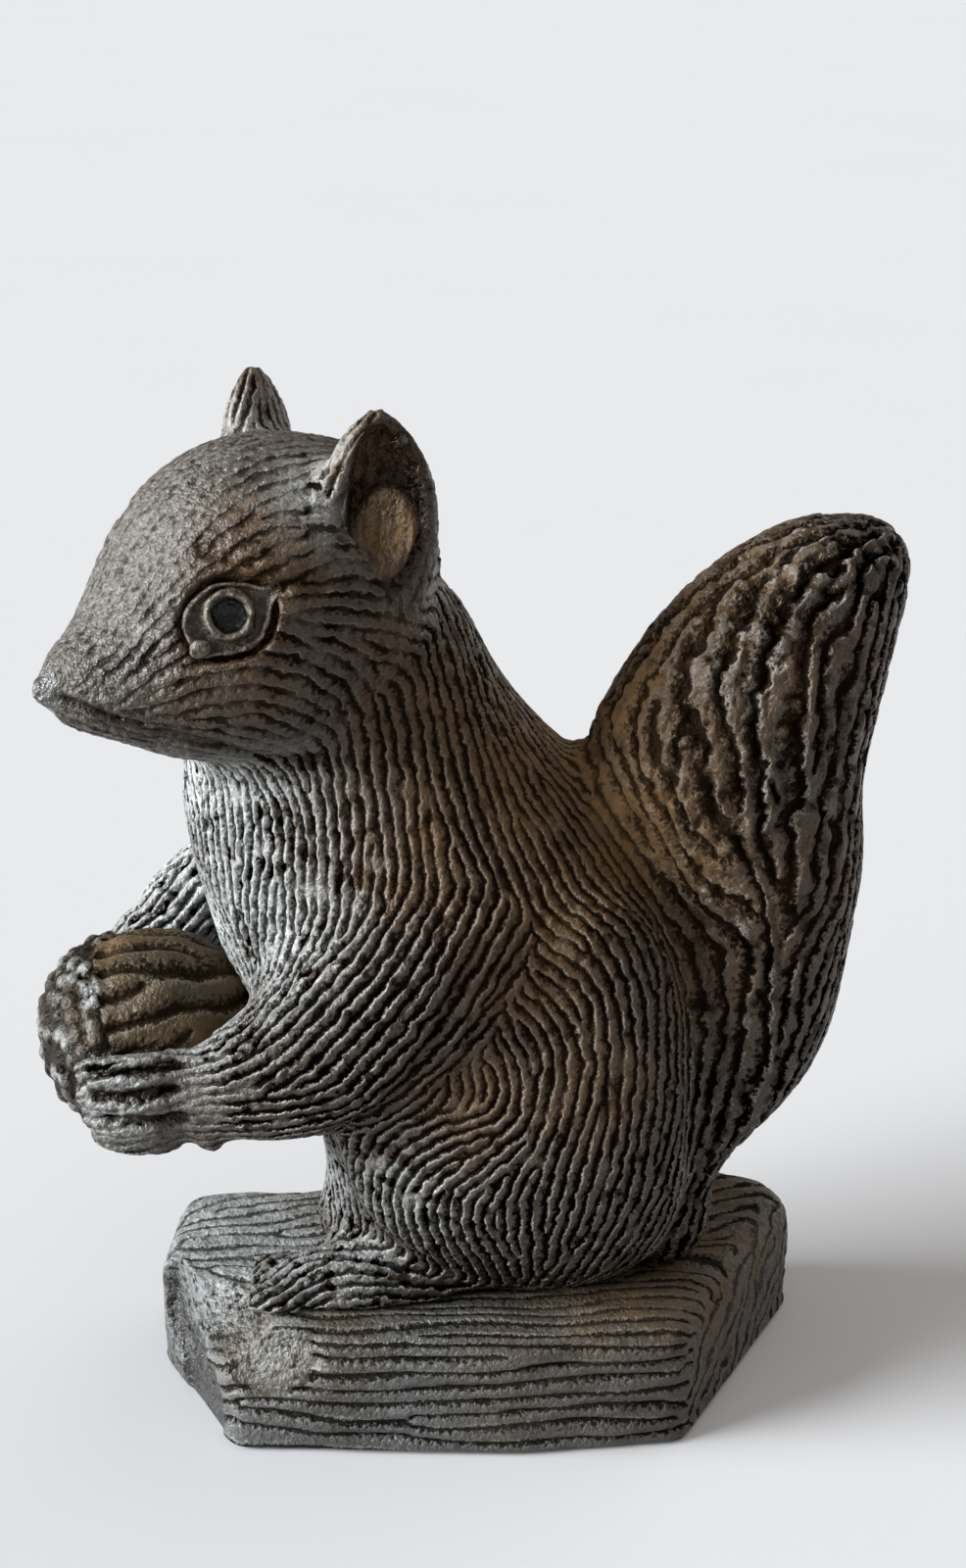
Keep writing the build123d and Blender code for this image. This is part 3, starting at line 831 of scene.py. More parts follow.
def read_from_faces(mesh, name):
    values = np.empty(len(mesh.polygons), dtype=np.int32)
    mesh.attributes[name].data.foreach_get("value", values)
    return values


def refine(piece, field, angle, owner, rounds):
    """Halve the mesh's spacing and carry the field, the ridges and the owners over to it."""
    mesh = piece.data
    rough = len(mesh.vertices)
    keep_on_faces(mesh, "owner", owner)
    for name, part in (("way", field[:, :3]), ("comb_size", np.hstack([field[:, 3:], field[:, 3:4]]))):
        mesh.attributes.new(name, "FLOAT_VECTOR", "POINT").data.foreach_set("vector", part.ravel())
    finish_with(piece, "SUBSURF", levels=1, render_levels=1)
    mesh = piece.data
    read = {}
    for name in ("way", "comb_size"):
        values = np.empty(len(mesh.vertices) * 3)
        mesh.attributes[name].data.foreach_get("vector", values)
        read[name] = values.reshape(-1, 3)
    places, normals, quads = places_of(mesh), normals_of(mesh), quads_of(mesh)
    ways = flat_on_skin(read["way"], normals)
    here, there = links_of(quads)
    start = np.zeros(len(places), dtype=complex)
    start[:rough] = angle
    angle = grow_ridges(start, places, normals, ways, read["comb_size"][:, 0], here, there, rounds)
    return places, normals, quads, read["comb_size"], angle, read_from_faces(mesh, "owner")


fine_places, fine_normals, fine_quads, comb_size, angle, fine_owner = refine(
    fur, field, angle, face_owner, fine_rounds)
print("fine skin:", len(fine_places), "vertices")

# %% [markdown]
# ## Creases, dust, bloom and painted highlights
# Some lines are deeper than the fur: the fold between arm and haunch, the mouth, the edge of the shoulder.
# They are strokes too, with a width and a depth, and the finish paints them black as shade. Brown dust and
# old wax lie in the hollows and on what faces up. Pale spots lie mostly on the chest: partly a bloom where
# hands have rubbed, and partly a painted highlight where the window lights the chest and the left side,
# which also lifts the shade on the foot. Both are given as spots, each with a reach, an amount and a pixel
# of the photograph.

# %% Draw the creases, the dust, and the bloom with its painted highlights
creases = [
    (0.80, 0.30, ((352, 1152), (395, 1130), (430, 1086), (456, 1040), (476, 1000), (492, 958))),
    (0.60, 0.25, ((392, 908), (440, 915), (495, 914), (520, 908))),
    (0.30, 0.30, ((62, 712), (90, 724), (120, 736), (150, 742))),
    (0.50, 0.35, ((165, 748), (220, 762), (280, 778), (335, 776))),
    (0.60, 0.40, ((205, 560), (245, 572), (290, 590), (330, 600))),
    (0.45, 0.60, ((180, 1086), (140, 1093), (92, 1092))),
    (0.45, 0.60, ((176, 1113), (140, 1120), (96, 1121))),
    (0.45, 0.55, ((185, 1141), (150, 1145), (108, 1143))),
]
dust_spots = [
    (9, 1.0, (585, 790)), (8, 0.8, (540, 800)), (8, 0.9, (640, 850)), (6, 0.9, (622, 742)),
    (6, 0.7, (662, 682)), (6, 0.5, (705, 632)), (5, 0.4, (770, 580)), (6, 0.5, (690, 760)),
    (9, 0.5, (450, 760)), (8, 0.6, (440, 840)), (7, 0.6, (580, 900)), (5, 0.5, (480, 1115)),
    (6, 0.5, (605, 1110)), (6, 0.6, (530, 990)), (5, 0.5, (272, 575)), (5, 0.4, (250, 708)),
    (6, 0.4, (400, 680)), (6, 0.35, (840, 700)), (6, 0.4, (700, 1000)), (4, 0.4, (235, 410)),
    (8, 0.25, (760, 700)), (8, 0.2, (740, 800)), (8, 0.3, (820, 900)), (8, 0.5, (560, 960)),
]
# Pale spots: partly a rubbed bloom, and partly a painted highlight on the window's side and a painted lift
# of the shade on the foot.
bloom_and_highlight_spots = [
    (8, 0.8, (235, 850)), (7, 0.9, (205, 900)), (6, 1.0, (215, 960)), (7, 0.8, (270, 920)),
    (5, 0.9, (228, 1010)), (6, 0.9, (175, 880)), (5, 0.8, (150, 905)), (3, 0.7, (335, 470)),
    (3, 0.7, (318, 510)), (7, 0.12, (150, 560)), (6, 0.12, (110, 620)), (7, 0.1, (200, 480)),
    (4, 0.8, (335, 1190)), (4, 0.6, (130, 1105)), (4, 0.6, (120, 1135)), (6, 0.9, (200, 800)),
    (6, 0.8, (250, 800)), (5, 0.5, (320, 850)), (5, 0.15, (755, 680)), (4, 0.15, (800, 570)),
    (5, 0.4, (400, 1230)), (5, 0.15, (310, 1000)), (4, 0.5, (300, 1290)), (4, 0.4, (360, 1290)),
    (6, 0.8, (240, 900)), (6, 0.5, (290, 860)), (5, 0.6, (180, 1060)), (5, 0.45, (260, 960)),
]


def nearness(points, marks, reach, batch=20000):
    """One at a mark, fading to nothing away from it."""
    near = np.zeros(len(points))
    for first in range(0, len(points), batch):
        some = points[first:first + batch]
        apart = ((some[:, None, :] - marks[None]) ** 2).sum(axis=2).min(axis=1)
        near[first:first + batch] = np.exp(-apart / reach ** 2)
    return near


def plane_for(pixel):
    """The mirror for a mark: the head's own for a mark on the head, and the body's for any other."""
    on_head = pixel[0] < 350 and pixel[1] < 790
    return (head_middle, head_side) if on_head else (body_middle, body_side)


def both_sides(points, pixel):
    points = np.array(points).reshape(-1, 3)
    return np.vstack([points, mirrored(points, *plane_for(pixel))])


crease_depth = np.zeros(len(fine_places))
for width, depth, pixels in creases:
    marks = both_sides(points_under(fur_tree, pixels, 3), pixels[0])
    crease_depth = np.maximum(crease_depth, depth * mm * nearness(fine_places, marks, width * mm))


def spotted(places, tree, spots):
    """The most that any spot gives to each place, on both sides of the figurine."""
    amounts = np.zeros(len(places))
    for reach, amount, pixel in spots:
        marks = both_sides(points_under(tree, (pixel, (pixel[0] + 1, pixel[1]))), pixel)
        if len(marks):
            amounts = np.maximum(amounts, amount * nearness(places, marks, reach * mm))
    return amounts


dust = spotted(fine_places, fur_tree, dust_spots)
bloom_and_highlight = spotted(fine_places, fur_tree, bloom_and_highlight_spots)
print("creased", int((crease_depth > 0.05 * mm).sum()), "dusted", int((dust > 0.2).sum()), "vertices")

# %% [markdown]
# ## Eyes and ears on the skin
# Each eye is a raised ring round a dark pupil, on an almond of smooth lids with a tear duct at its lower
# front corner. The almond's outline is given in the eye's own frame, so both eyes can use it. The skin
# sinks inside the outline and is cut by a groove round it, and the eye itself is a piece of its own, set in
# later. The hollow of the ear holds a brown lens with a groove round it.

# %% Find the frame of each eye
def frame_of_eye(side):
    """The middle of an eye's ring, and the directions to the rear, up and out of the head."""
    points = places_of(frame["nodes"][side + "_eye"].data)
    middle = points.mean(axis=0)
    out = np.linalg.eigh(np.cov((points - middle).T))[1][:, 0]
    if out @ (middle - middle_of("head")) < 0:
        out = -out
    ring_height = 0.4 * mm
    lids = middle + out * (((points - middle) @ out).max() - ring_height)
    rear = middle_of("head") - middle_of("nose")
    rear = unit(rear - (rear @ out) * out)
    above = np.cross(out, rear)
    if above[2] < 0:
        above = -above
    return lids, rear, above, out


eye_frames = {side: frame_of_eye(side) for side in ("left", "right")}
print({side: [round(c / mm, 1) for c in eye[0]] for side, eye in eye_frames.items()})

# %% Draw the almond of the lids
almond = np.array([
    (4.2, 0.15), (2.6, 1.05), (1.3, 1.9), (0.0, 2.3), (-1.5, 2.1), (-2.7, 1.4), (-3.3, 0.4), (-3.3, -0.8),
    (-3.0, -2.0), (-1.9, -2.3), (0.0, -2.8), (1.6, -2.4), (2.6, -1.3), (3.3, -0.4),
])


def rounded(outline, steps=4):
    """A closed outline through the points of another, smooth between them."""
    p0, p1, p2, p3 = (np.roll(outline, shift, axis=0) for shift in (1, 0, -1, -2))
    spans = []
    for k in range(steps):
        t = k / steps
        spans.append(0.5 * (2 * p1 + (p2 - p0) * t + (2 * p0 - 5 * p1 + 4 * p2 - p3) * t ** 2
                            + (3 * p1 - p0 - 3 * p2 + p3) * t ** 3))
    return np.stack(spans, axis=1).reshape(-1, 2)


def distance_to(outline, points):
    """How far points are from a closed outline: less than nothing inside it."""
    nearest = np.full(len(points), np.inf)
    inside = np.zeros(len(points), bool)
    for a, b in zip(outline, np.roll(outline, -1, axis=0)):
        along = np.clip(((points - a) @ (b - a)) / ((b - a) @ (b - a)), 0, 1)
        nearest = np.minimum(nearest, np.linalg.norm(points - a - along[:, None] * (b - a), axis=1))
        crosses = (a[1] > points[:, 1]) != (b[1] > points[:, 1])
        slope = (b[0] - a[0]) / (b[1] - a[1] if b[1] != a[1] else 1e-9)
        inside ^= crosses & (points[:, 0] < a[0] + (points[:, 1] - a[1]) * slope)
    return np.where(inside, -nearest, nearest)


lid_outline = rounded(almond) * mm
print("lids:", np.ptp(lid_outline, axis=0) / mm, "mm")

# %% Sink the skin for the eyes and dish the ears
lid_groove_width = 0.40 * mm
lid_groove_depth = 0.55 * mm
lid_sink = 0.90 * mm
lens_pixel = (394, 545)
lens_pixel_size = (31, 50)
hollow_pixel_size = (44, 92)
hollow_pixel = (398, 515)


def pixel_of(points):
    """Where the camera sees points, in pixels of the photograph."""
    away = points - np.array(camera_place)
    ahead = away[:, 1] * math.cos(camera_pitch) - away[:, 2] * math.sin(camera_pitch)
    up = away[:, 1] * math.sin(camera_pitch) + away[:, 2] * math.cos(camera_pitch)
    return np.stack([
        photo_width / 2 + focal_length_in_pixels * away[:, 0] / ahead,
        photo_height / 2 - focal_length_in_pixels * up / ahead,
    ], axis=1)


def in_oval(pixels, middle, size):
    return np.hypot((pixels[:, 0] - middle[0]) / size[0], (pixels[:, 1] - middle[1]) / size[1])


eye_depth = np.zeros(len(fine_places))
for lids, rear, above, out in eye_frames.values():
    away = fine_places - lids
    near = np.flatnonzero((np.linalg.norm(away, axis=1) < 7 * mm) & (fine_normals @ out > 0.2))
    flat = np.stack([away[near] @ rear, away[near] @ above], axis=1)
    apart = distance_to(lid_outline, flat)
    groove = lid_groove_depth * np.exp(-(np.maximum(apart, 0) / lid_groove_width) ** 2)
    eye_depth[near] = np.where(apart < 0, lid_sink, groove)

ear_vertices = owner_of_vertices(fine_owner, fine_quads, len(fine_places))
lens = np.zeros(len(fine_places))
ear_plain = np.zeros(len(fine_places))
ear_depth = np.zeros(len(fine_places))
for node, mirror in (("left_ear", False), ("right_ear", True)):
    mine = np.flatnonzero(ear_vertices == fur_nodes.index(node))
    points, aims = fine_places[mine], fine_normals[mine]
    if mirror:
        points, aims = mirrored(points, head_middle, head_side), mirrored(aims, np.zeros(3), head_side)
    facing = ease(-(aims * unit(points - np.array(camera_place))).sum(axis=1), 0.05, 0.35)
    pixels = pixel_of(points)
    lens_rim = in_oval(pixels, lens_pixel, lens_pixel_size)
    hollow_rim = in_oval(pixels, hollow_pixel, hollow_pixel_size)
    lens[mine] = facing * (1 - ease(lens_rim, 0.85, 1.05))
    groove = 0.45 * mm * np.exp(-((lens_rim - 1.15) / 0.16) ** 2)
    ear_plain[mine] = facing * (1 - ease(hollow_rim, 0.90, 1.10))
    hollow = 0.80 * mm * (1 - ease(hollow_rim, 0.75, 1.05)) * (1 - lens[mine])
    ear_depth[mine] = facing * np.maximum(groove, hollow)
print("lids sunk at", int((eye_depth > 0).sum()), "vertices")
print("ears dished at", int((ear_depth > 0.05 * mm).sum()), "vertices")

# %% [markdown]
# ## Carving
# Every vertex now moves inwards along its normal: deep in the grooves, not at all on the ridges, so the
# skin never grows past the CAD model. Unevenness, from waves that cross at random, keeps it from looking
# machined: the ridges wander, vary in depth and are broken by nicks. On the tail, where the comb is coarse,
# finer strands run along it.

# %% Carve the ridges
ridge_lean = 0.55
groove_power = 2.6
stipple_size = 0.75 * mm
stipple_depth = 0.03 * mm
strand_size = 1.3 * mm
strand_depth = 0.16 * mm
strand_stretch = np.array((1.0, 1.0, 0.22))
tail_wander = 1.2
tail_wander_size = 4.0 * mm
tail_wander_stretch = np.array((1.0, 1.0, 0.4))
nick_size = 1.5 * mm
nick_share = 0.7


def ripples(points, size, waves=28):
    """An even, seeded unevenness between about -1 and 1, made of crossing waves."""
    ways = unit(chance.normal(size=(waves, 3)))
    lengths = size * chance.uniform(0.6, 1.5, waves)
    shifts = chance.uniform(0, 2 * np.pi, waves)
    return np.sin(points @ (ways * (2 * np.pi / lengths)[:, None]).T + shifts).sum(axis=1) / math.sqrt(waves)


def grooves_of(angle, power=groove_power):
    """How far down in its groove each vertex is. The ridges lean, as a slanted comb leaves them."""
    leaned = angle * np.exp(1j * ridge_lean * angle.real)
    return (0.5 - 0.5 * leaned.real) ** power


coarse = ease(comb_size[:, 0], 1.3 * mm, 1.9 * mm)
strands = np.clip(ripples(fine_places * strand_stretch, strand_size), 0, 2)
wander = 0.50 * ripples(fine_places, 2.4 * mm) + 0.45 * ripples(fine_places, 1.1 * mm)
wander += coarse * tail_wander * ripples(fine_places * tail_wander_stretch, tail_wander_size)
angle = angle * np.exp(1j * wander)
depths = comb_size[:, 1] * np.clip(0.95 + 0.42 * ripples(fine_places, 3.0 * mm), 0.15, 1.7)
nicks = ease(ripples(fine_places, nick_size), 0.5, 1.2) * ease(depths, 0.1 * mm, 0.3 * mm)
stipple = 1 - ease(comb_size[:, 1], 0.05 * mm, 0.20 * mm)
grain = ripples(fine_places, stipple_size)
plain = np.maximum(ear_plain, ease(eye_depth, 0.2 * mm, 0.5 * mm))
groove = grooves_of(angle)
groove = groove + nick_share * nicks * (1 - groove)
inwards = (1 - plain) * depths * groove + stipple_depth * (0.6 + stipple) * (1 - grain)
inwards += coarse * strand_depth * strands
inwards = np.maximum(inwards + crease_depth + eye_depth + ear_depth, 0)
put_places(fur.data, fine_places - inwards[:, None] * fine_normals)
print("deepest groove", round(inwards.max() / mm, 2), "mm")

# %% [markdown]
# ## Parting the skin again
# The fused skin is cut along the castings' joints, so that each casting is a piece of its own that replaces
# its CAD node. Cutting leaves holes, and each is closed inside the figure, by a wall that goes straight in
# from the edge and a fan of triangles to a sunken middle. Every vertex keeps the fused skin's normal, so no
# seam shows.


# %% Cut out the pieces
cap_wall = 1.0 * mm


def keep_on_points(mesh, name, values):
    mesh.attributes.new(name, "FLOAT_VECTOR", "POINT").data.foreach_set("vector", values.ravel())


def part_out(name, faces, places, normals, marks):
    """A closed piece made of some of a skin's quads."""
    used, local = np.unique(faces, return_inverse=True)
    quads = local.reshape(-1, 4)
    edges = np.vstack([quads[:, [a, b]] for a, b in ((0, 1), (1, 2), (2, 3), (3, 0))])
    keys = edges[:, 0] * len(used) + edges[:, 1]
    back = edges[:, 1] * len(used) + edges[:, 0]
    rim = edges[~np.isin(keys, back)]
    points, aims = places[used], normals[used]
    loop = np.arange(len(used))
    while True:
        least = np.minimum(loop[rim[:, 0]], loop[rim[:, 1]])
        before = loop.copy()
        np.minimum.at(loop, rim[:, 0], least)
        np.minimum.at(loop, rim[:, 1], least)
        if np.array_equal(before, loop):
            break
    edge_of_hole = np.unique(rim[:, 0])
    lower = np.zeros(len(used), dtype=np.int64)
    lower[edge_of_hole] = len(used) + np.arange(len(edge_of_hole))
    sunk_points = points[edge_of_hole] - cap_wall * aims[edge_of_hole]
    caps, hubs, hub_aims = [], [], []
    for number in np.unique(loop[edge_of_hole]):
        ring = rim[loop[rim[:, 0]] == number]
        middle = points[ring[:, 0]].mean(axis=0)
        reach = np.linalg.norm(points[ring[:, 0]] - middle, axis=1).mean()
        aim = aims[ring[:, 0]].mean(axis=0)
        hub = len(used) + len(edge_of_hole) + len(hubs)
        hubs.append(middle - (cap_wall + 0.25 * reach) * aim)
        hub_aims.append(unit(-aim))
        for a, b in ring.tolist():
            caps += [(b, a, lower[a], lower[b]), (lower[b], lower[a], hub)]
    mesh = bpy.data.meshes.new(name)
    all_points = np.vstack([points, sunk_points] + [np.array([hub]) for hub in hubs])
    all_aims = np.vstack([aims, aims[edge_of_hole]] + [np.array([aim]) for aim in hub_aims])
    mesh.from_pydata(all_points.tolist(), [], quads.tolist() + caps)
    mesh.shade_smooth()
    for mark, values in marks.items():
        keep_on_points(mesh, mark, np.vstack([values[used], np.zeros((len(all_points) - len(used), 3))]))
    mesh.normals_split_custom_set_from_vertices(all_aims.tolist())
    piece = bpy.data.objects.new(name, mesh)
    scene.collection.objects.link(piece)
    return piece


carved_places, carved_normals = places_of(fur.data), normals_of(fur.data)
breaks = (0.45 * nicks + 0.4 * coarse * strands) * mm
# What is sunk is painted black as shade in the finish: creases, eye sockets, ear hollows, the ear's lens and
# the nicks.
sunk_shade = crease_depth + eye_depth + ear_depth + 0.3 * mm * lens + (1 - plain) * breaks
marks = {
    "comb": np.stack([angle.real, angle.imag, (1 - plain) * depths / mm], axis=1),
    "patina": np.stack([np.maximum(dust, 0.55 * lens), bloom_and_highlight, sunk_shade / mm], axis=1),
}
fur_pieces = []
for k, node in enumerate(fur_nodes):
    piece = part_out(node + "_fur", fine_quads[fine_owner == k], carved_places, carved_normals, marks)
    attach(piece, "root")
    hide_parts(node)
    fur_pieces.append(piece)
bpy.data.objects.remove(fur)
print({piece.name: len(piece.data.polygons) for piece in fur_pieces})

# %% [markdown]
# ## A recipe for cast stone
# The castings are nearly black, rubbed paler on the ridges with a painted highlight along them, and brown
# with dust in the hollows. One recipe serves fur, log and nut, with other colours for each. The ridges'
# angle is kept on the mesh, so the finish can draw them finer than the mesh could: a pale line along one
# edge of each ridge, partly wear and partly a painted highlight on the edge that faces the window, a groove
# painted black as shade, and a bump that sharpens both. Where there are no ridges it draws pits instead,
# painted dark as shade. The mesh also says where dust and bloom lie, the bloom partly a painted highlight,
# and what is sunk, which is painted black as shade. Black stone still shines a little, so the grooves and
# sunk places are made a black metal, which doesn't, and so they keep their painted shade.

# %% Write the recipe
# The colour of the bloom, also used as a painted highlight.
bloom_and_highlight_colour = (0.60, 0.62, 0.61, 1)


def cast_stone(
        name, groove_shade_colour, band_colour, worn_and_highlight_colour, dust_colour,
        roughness=0.33, bias=0.0, power=groove_power):
    """A finish with its colours: black in the grooves as painted shade, on the ridges, where it is worn with
    a painted highlight, and where it is dusty.
    """
    stone = Finish(name)
    ridge_cos, ridge_sin, ridge_depth = stone.parts("comb")
    dusty, bloom_and_highlight, sunk_shade = stone.parts("patina")
    length = stone.math("SQRT", ridge_cos * ridge_cos + ridge_sin * ridge_sin) + 0.001
    ridge_cos, ridge_sin = ridge_cos / length, ridge_sin / length
    ragged = stone.speckle(0.40 * mm, 3.0) - 0.5
    fine_grain = stone.spots(0.20 * mm, 2.0)
    pits = stone.spots(0.65 * mm, 2.5)
    clouds = stone.spots(4.0 * mm, 2.5)
    turn = ridge_lean * ridge_cos + 4.5 * ragged
    crest = ridge_cos * stone.math("COSINE", turn) - ridge_sin * stone.math("SINE", turn)
    flank = ridge_sin * stone.math("COSINE", turn) + ridge_cos * stone.math("SINE", turn)
    groove = stone.clamp(0.5 - 0.5 * crest) ** power
    combed = stone.clamp(ridge_depth * 5)
    # Painted highlight: a pale line along the ridge edge that faces the window, partly real wear.
    worn_and_lit_edge = stone.clamp(2.5 * crest - 5.4 * flank - 4.6)
    # Painted shade: the grooves, and the pits where there are no ridges, are coloured black.
    groove_and_pit_shade = stone.clamp((groove - 0.10) * 3) * combed + (1 - combed) * stone.clamp((0.32 - pits) * 2.2)
    rubbed_and_lit = worn_and_lit_edge * combed * (0.4 + 0.8 * clouds) * (0.4 + 0.9 * bloom_and_highlight) + (1 - combed) * (0.02 + 0.2 * pits)
    worn_and_highlight = stone.clamp(rubbed_and_lit * (0.3 + 1.2 * fine_grain) + bias - sunk_shade)
    # Painted highlight: the pale spots brighten the bloom and the worn edges where the window lights the
    # figurine.
    bloom_and_highlight_share = stone.clamp(bloom_and_highlight * (0.45 + 0.75 * pits) * (1 - 0.7 * groove_and_pit_shade) - sunk_shade)
    bare_with_groove_shade = stone.blend(stone.clamp(groove_and_pit_shade + sunk_shade), band_colour, groove_shade_colour)
    rubbed_and_lit_bare = stone.blend(bloom_and_highlight_share, stone.blend(worn_and_highlight * (1 - 0.9 * groove_and_pit_shade), bare_with_groove_shade, worn_and_highlight_colour), bloom_and_highlight_colour)
    dust_share = stone.clamp(dusty * (1.0 - 0.7 * groove) * (0.5 + 0.8 * clouds))
    stone.give("Base Color", stone.blend(dust_share, rubbed_and_lit_bare, dust_colour))
    # The grooves and sunk places are made a black metal, so that no reflection lifts their painted shade.
    stone.give("Metallic", stone.clamp(0.6 * worn_and_highlight + stone.clamp(groove_and_pit_shade + sunk_shade) - dust_share - bloom_and_highlight_share))
    rough = roughness + 0.15 * (fine_grain - 0.5) + 0.35 * dust_share + 0.4 * groove_and_pit_shade
    stone.give("Roughness", stone.clamp(rough))
    height = (1 - groove) * ridge_depth * 0.8 + fine_grain * 0.04 + pits * (0.16 - 0.07 * combed)
    stone.bump(height)
    stone.give("Specular IOR Level", 0.5)
    return stone.material


fur_stone = cast_stone(
    "fur_stone",
    groove_shade_colour=(0.002, 0.001, 0.001, 1),
    band_colour=(0.042, 0.025, 0.014, 1),
    worn_and_highlight_colour=(0.62, 0.59, 0.53, 1),
    dust_colour=(0.200, 0.108, 0.038, 1),
)
polished_stone = cast_stone(
    "polished_stone",
    groove_shade_colour=(0.012, 0.011, 0.010, 1),
    band_colour=(0.060, 0.057, 0.055, 1),
    worn_and_highlight_colour=(0.42, 0.41, 0.39, 1),
    dust_colour=(0.15, 0.1, 0.05, 1),
    roughness=0.28,
    bias=0.25,
)
for piece in fur_pieces:
    piece.data.materials.append(polished_stone if piece.name.startswith("nose") else fur_stone)
print("fur stone nodes:", len(fur_stone.node_tree.nodes))

# %% [markdown]
# ## The eyes
# An eye starts as a disc, which is given the almond's outline and then extruded step by step: up to the
# lids, in to the foot of the ring, up the ring, over its top, and down to the pupil. A subdivision surface
# rounds the steps, and a slight unevenness keeps the ring from looking turned on a lathe.

# %% Model the eyes
eye_steps = [
    # how far the ring of vertices is towards a circle, its size and its height
    (0.0, 1.00, -0.05), (0.0, 0.98, 0.20), (0.0, 0.90, 0.24), (0.0, 0.82, 0.02), (0.6, 0.74, -0.06),
    (1.0, 1.92, -0.05), (1.0, 1.80, 0.10), (1.0, 1.68, 0.42), (1.0, 1.50, 0.52), (1.0, 1.32, 0.42),
    (1.0, 1.18, 0.10), (1.0, 1.06, -0.30), (1.0, 0.60, -0.45),
]
eye_foot = -1.3 * mm
eye_unevenness = 0.05 * mm
eye_wave = 1.3 * mm
duct_place = (-2.75, -1.35, 0.05)
duct_size = (0.78, 0.70, 0.42)


def ring_places(round_share, size, height):
    """A ring of an eye's vertices, between the almond and a circle."""
    turn = np.arctan2(lid_outline[:, 1], lid_outline[:, 0])
    circle = np.stack([np.cos(turn), np.sin(turn)], axis=1) * mm
    scale = size if round_share == 1 else 2.2
    flat = (1 - round_share) * lid_outline * (size if round_share < 1 else 1) + round_share * circle * scale
    return np.hstack([flat, np.full((len(flat), 1), height * mm)])


def model_eye(name):
    """An eye in its own frame: to the rear, up, and out of the head."""
    count = len(lid_outline)
    bpy.ops.object.select_all(action="DESELECT")
    bpy.ops.mesh.primitive_circle_add(vertices=count, radius=mm, fill_type="NGON")
    eye = bpy.context.object
    eye.name = name
    below = np.hstack([lid_outline, np.full((count, 1), eye_foot)])
    put_places(eye.data, below)
    for step in eye_steps:
        bpy.ops.object.mode_set(mode="EDIT")
        bpy.ops.mesh.select_mode(type="FACE")
        bpy.ops.mesh.extrude_region()
        bpy.ops.object.mode_set(mode="OBJECT")
        top = next(face for face in eye.data.polygons if face.select)
        ring = ring_places(*step)
        for corner in top.vertices:
            vertex = eye.data.vertices[corner]
            vertex.co = ring[np.linalg.norm(below - np.array(vertex.co), axis=1).argmin()]
        below = ring
    bpy.ops.object.mode_set(mode="EDIT")
    bpy.ops.mesh.select_all(action="SELECT")
    bpy.ops.mesh.normals_make_consistent(inside=False)
    bpy.ops.object.mode_set(mode="OBJECT")
    finish_with(eye, "SUBSURF", levels=2, render_levels=2)
    bpy.ops.mesh.primitive_uv_sphere_add(segments=24, ring_count=12, radius=mm)
    duct = bpy.context.object
    put_places(duct.data, places_of(duct.data) * np.array(duct_size) + np.array(duct_place) * mm)
    eye.select_set(True)
    bpy.context.view_layer.objects.active = eye
    bpy.ops.object.join()
    eye.data.shade_smooth()
    return eye


eyes = []
for side, (lids, rear, above, out) in eye_frames.items():
    eye = model_eye(side + "_eye_lids")
    local = places_of(eye.data)
    local += eye_unevenness * np.stack([ripples(local, eye_wave) for _ in range(3)], axis=1)
    put_places(eye.data, lids + local[:, :1] * rear + local[:, 1:2] * above + local[:, 2:] * out)
    if np.cross(rear, above) @ out < 0:
        only(eye)
        bpy.ops.object.mode_set(mode="EDIT")
        bpy.ops.mesh.select_all(action="SELECT")
        bpy.ops.mesh.flip_normals()
        bpy.ops.object.mode_set(mode="OBJECT")
    keep_on_points(eye.data, "eye", local / mm)
    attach(eye, "root")
    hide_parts(side + "_eye")
    eyes.append(eye)
print({eye.name: len(eye.data.polygons) for eye in eyes})

# %% Mix the eye stone
eye_stone = Finish("eye_stone")
eye_rear, eye_up, eye_out = eye_stone.parts("eye")
from_middle = eye_stone.math("SQRT", eye_rear * eye_rear + eye_up * eye_up)
in_pupil = eye_stone.clamp((1.27 - from_middle) * 7)
raised = eye_stone.clamp((eye_out - 0.06) * 4)
eye_pits = eye_stone.spots(0.55 * mm, 3.0)
eye_grain = eye_stone.spots(0.20 * mm, 2.0)
# The lids are darker in their pits: painted shade.
lid_colour_with_pit_shade = eye_stone.blend(eye_pits, (0.008, 0.005, 0.003, 1), (0.080, 0.048, 0.024, 1))
rubbed_eye = eye_stone.blend(raised * (0.05 + 0.80 * eye_pits), lid_colour_with_pit_shade, (0.34, 0.30, 0.25, 1))
eye_stone.give("Base Color", eye_stone.blend(in_pupil, rubbed_eye, (0.004, 0.004, 0.004, 1)))
eye_stone.give("Roughness", eye_stone.clamp(0.34 + 0.2 * (eye_grain - 0.5)))
eye_height = eye_pits * 0.10 + eye_grain * 0.03
eye_stone.bump(eye_height)
for eye in eyes:
    eye.data.materials.append(eye_stone.material)
print("eye stone nodes:", len(eye_stone.tree.nodes))

# %% [markdown]
# ## The acorn
# Seen closely, what the paws hold is an acorn: a shell with soft ribs along it, its tip at the chest, and a
# pebbled cup at the outer end. The ribs are combed as the fur was, along the acorn's length. The pebbles
# are the cells round points spread evenly over the cup.

# %% Comb and pebble the acorn
acorn_rim = np.array((-26.83, -2.5, 32.42)) * mm
acorn_tilt = math.radians(22)
acorn_axis = np.array((-math.cos(acorn_tilt), 0, -math.sin(acorn_tilt)))
rib_width = 2.6 * mm
rib_depth = 0.30 * mm
pebble_size = 1.6 * mm
pebble_depth = 0.55 * mm
cup_reach = 8.4 * mm


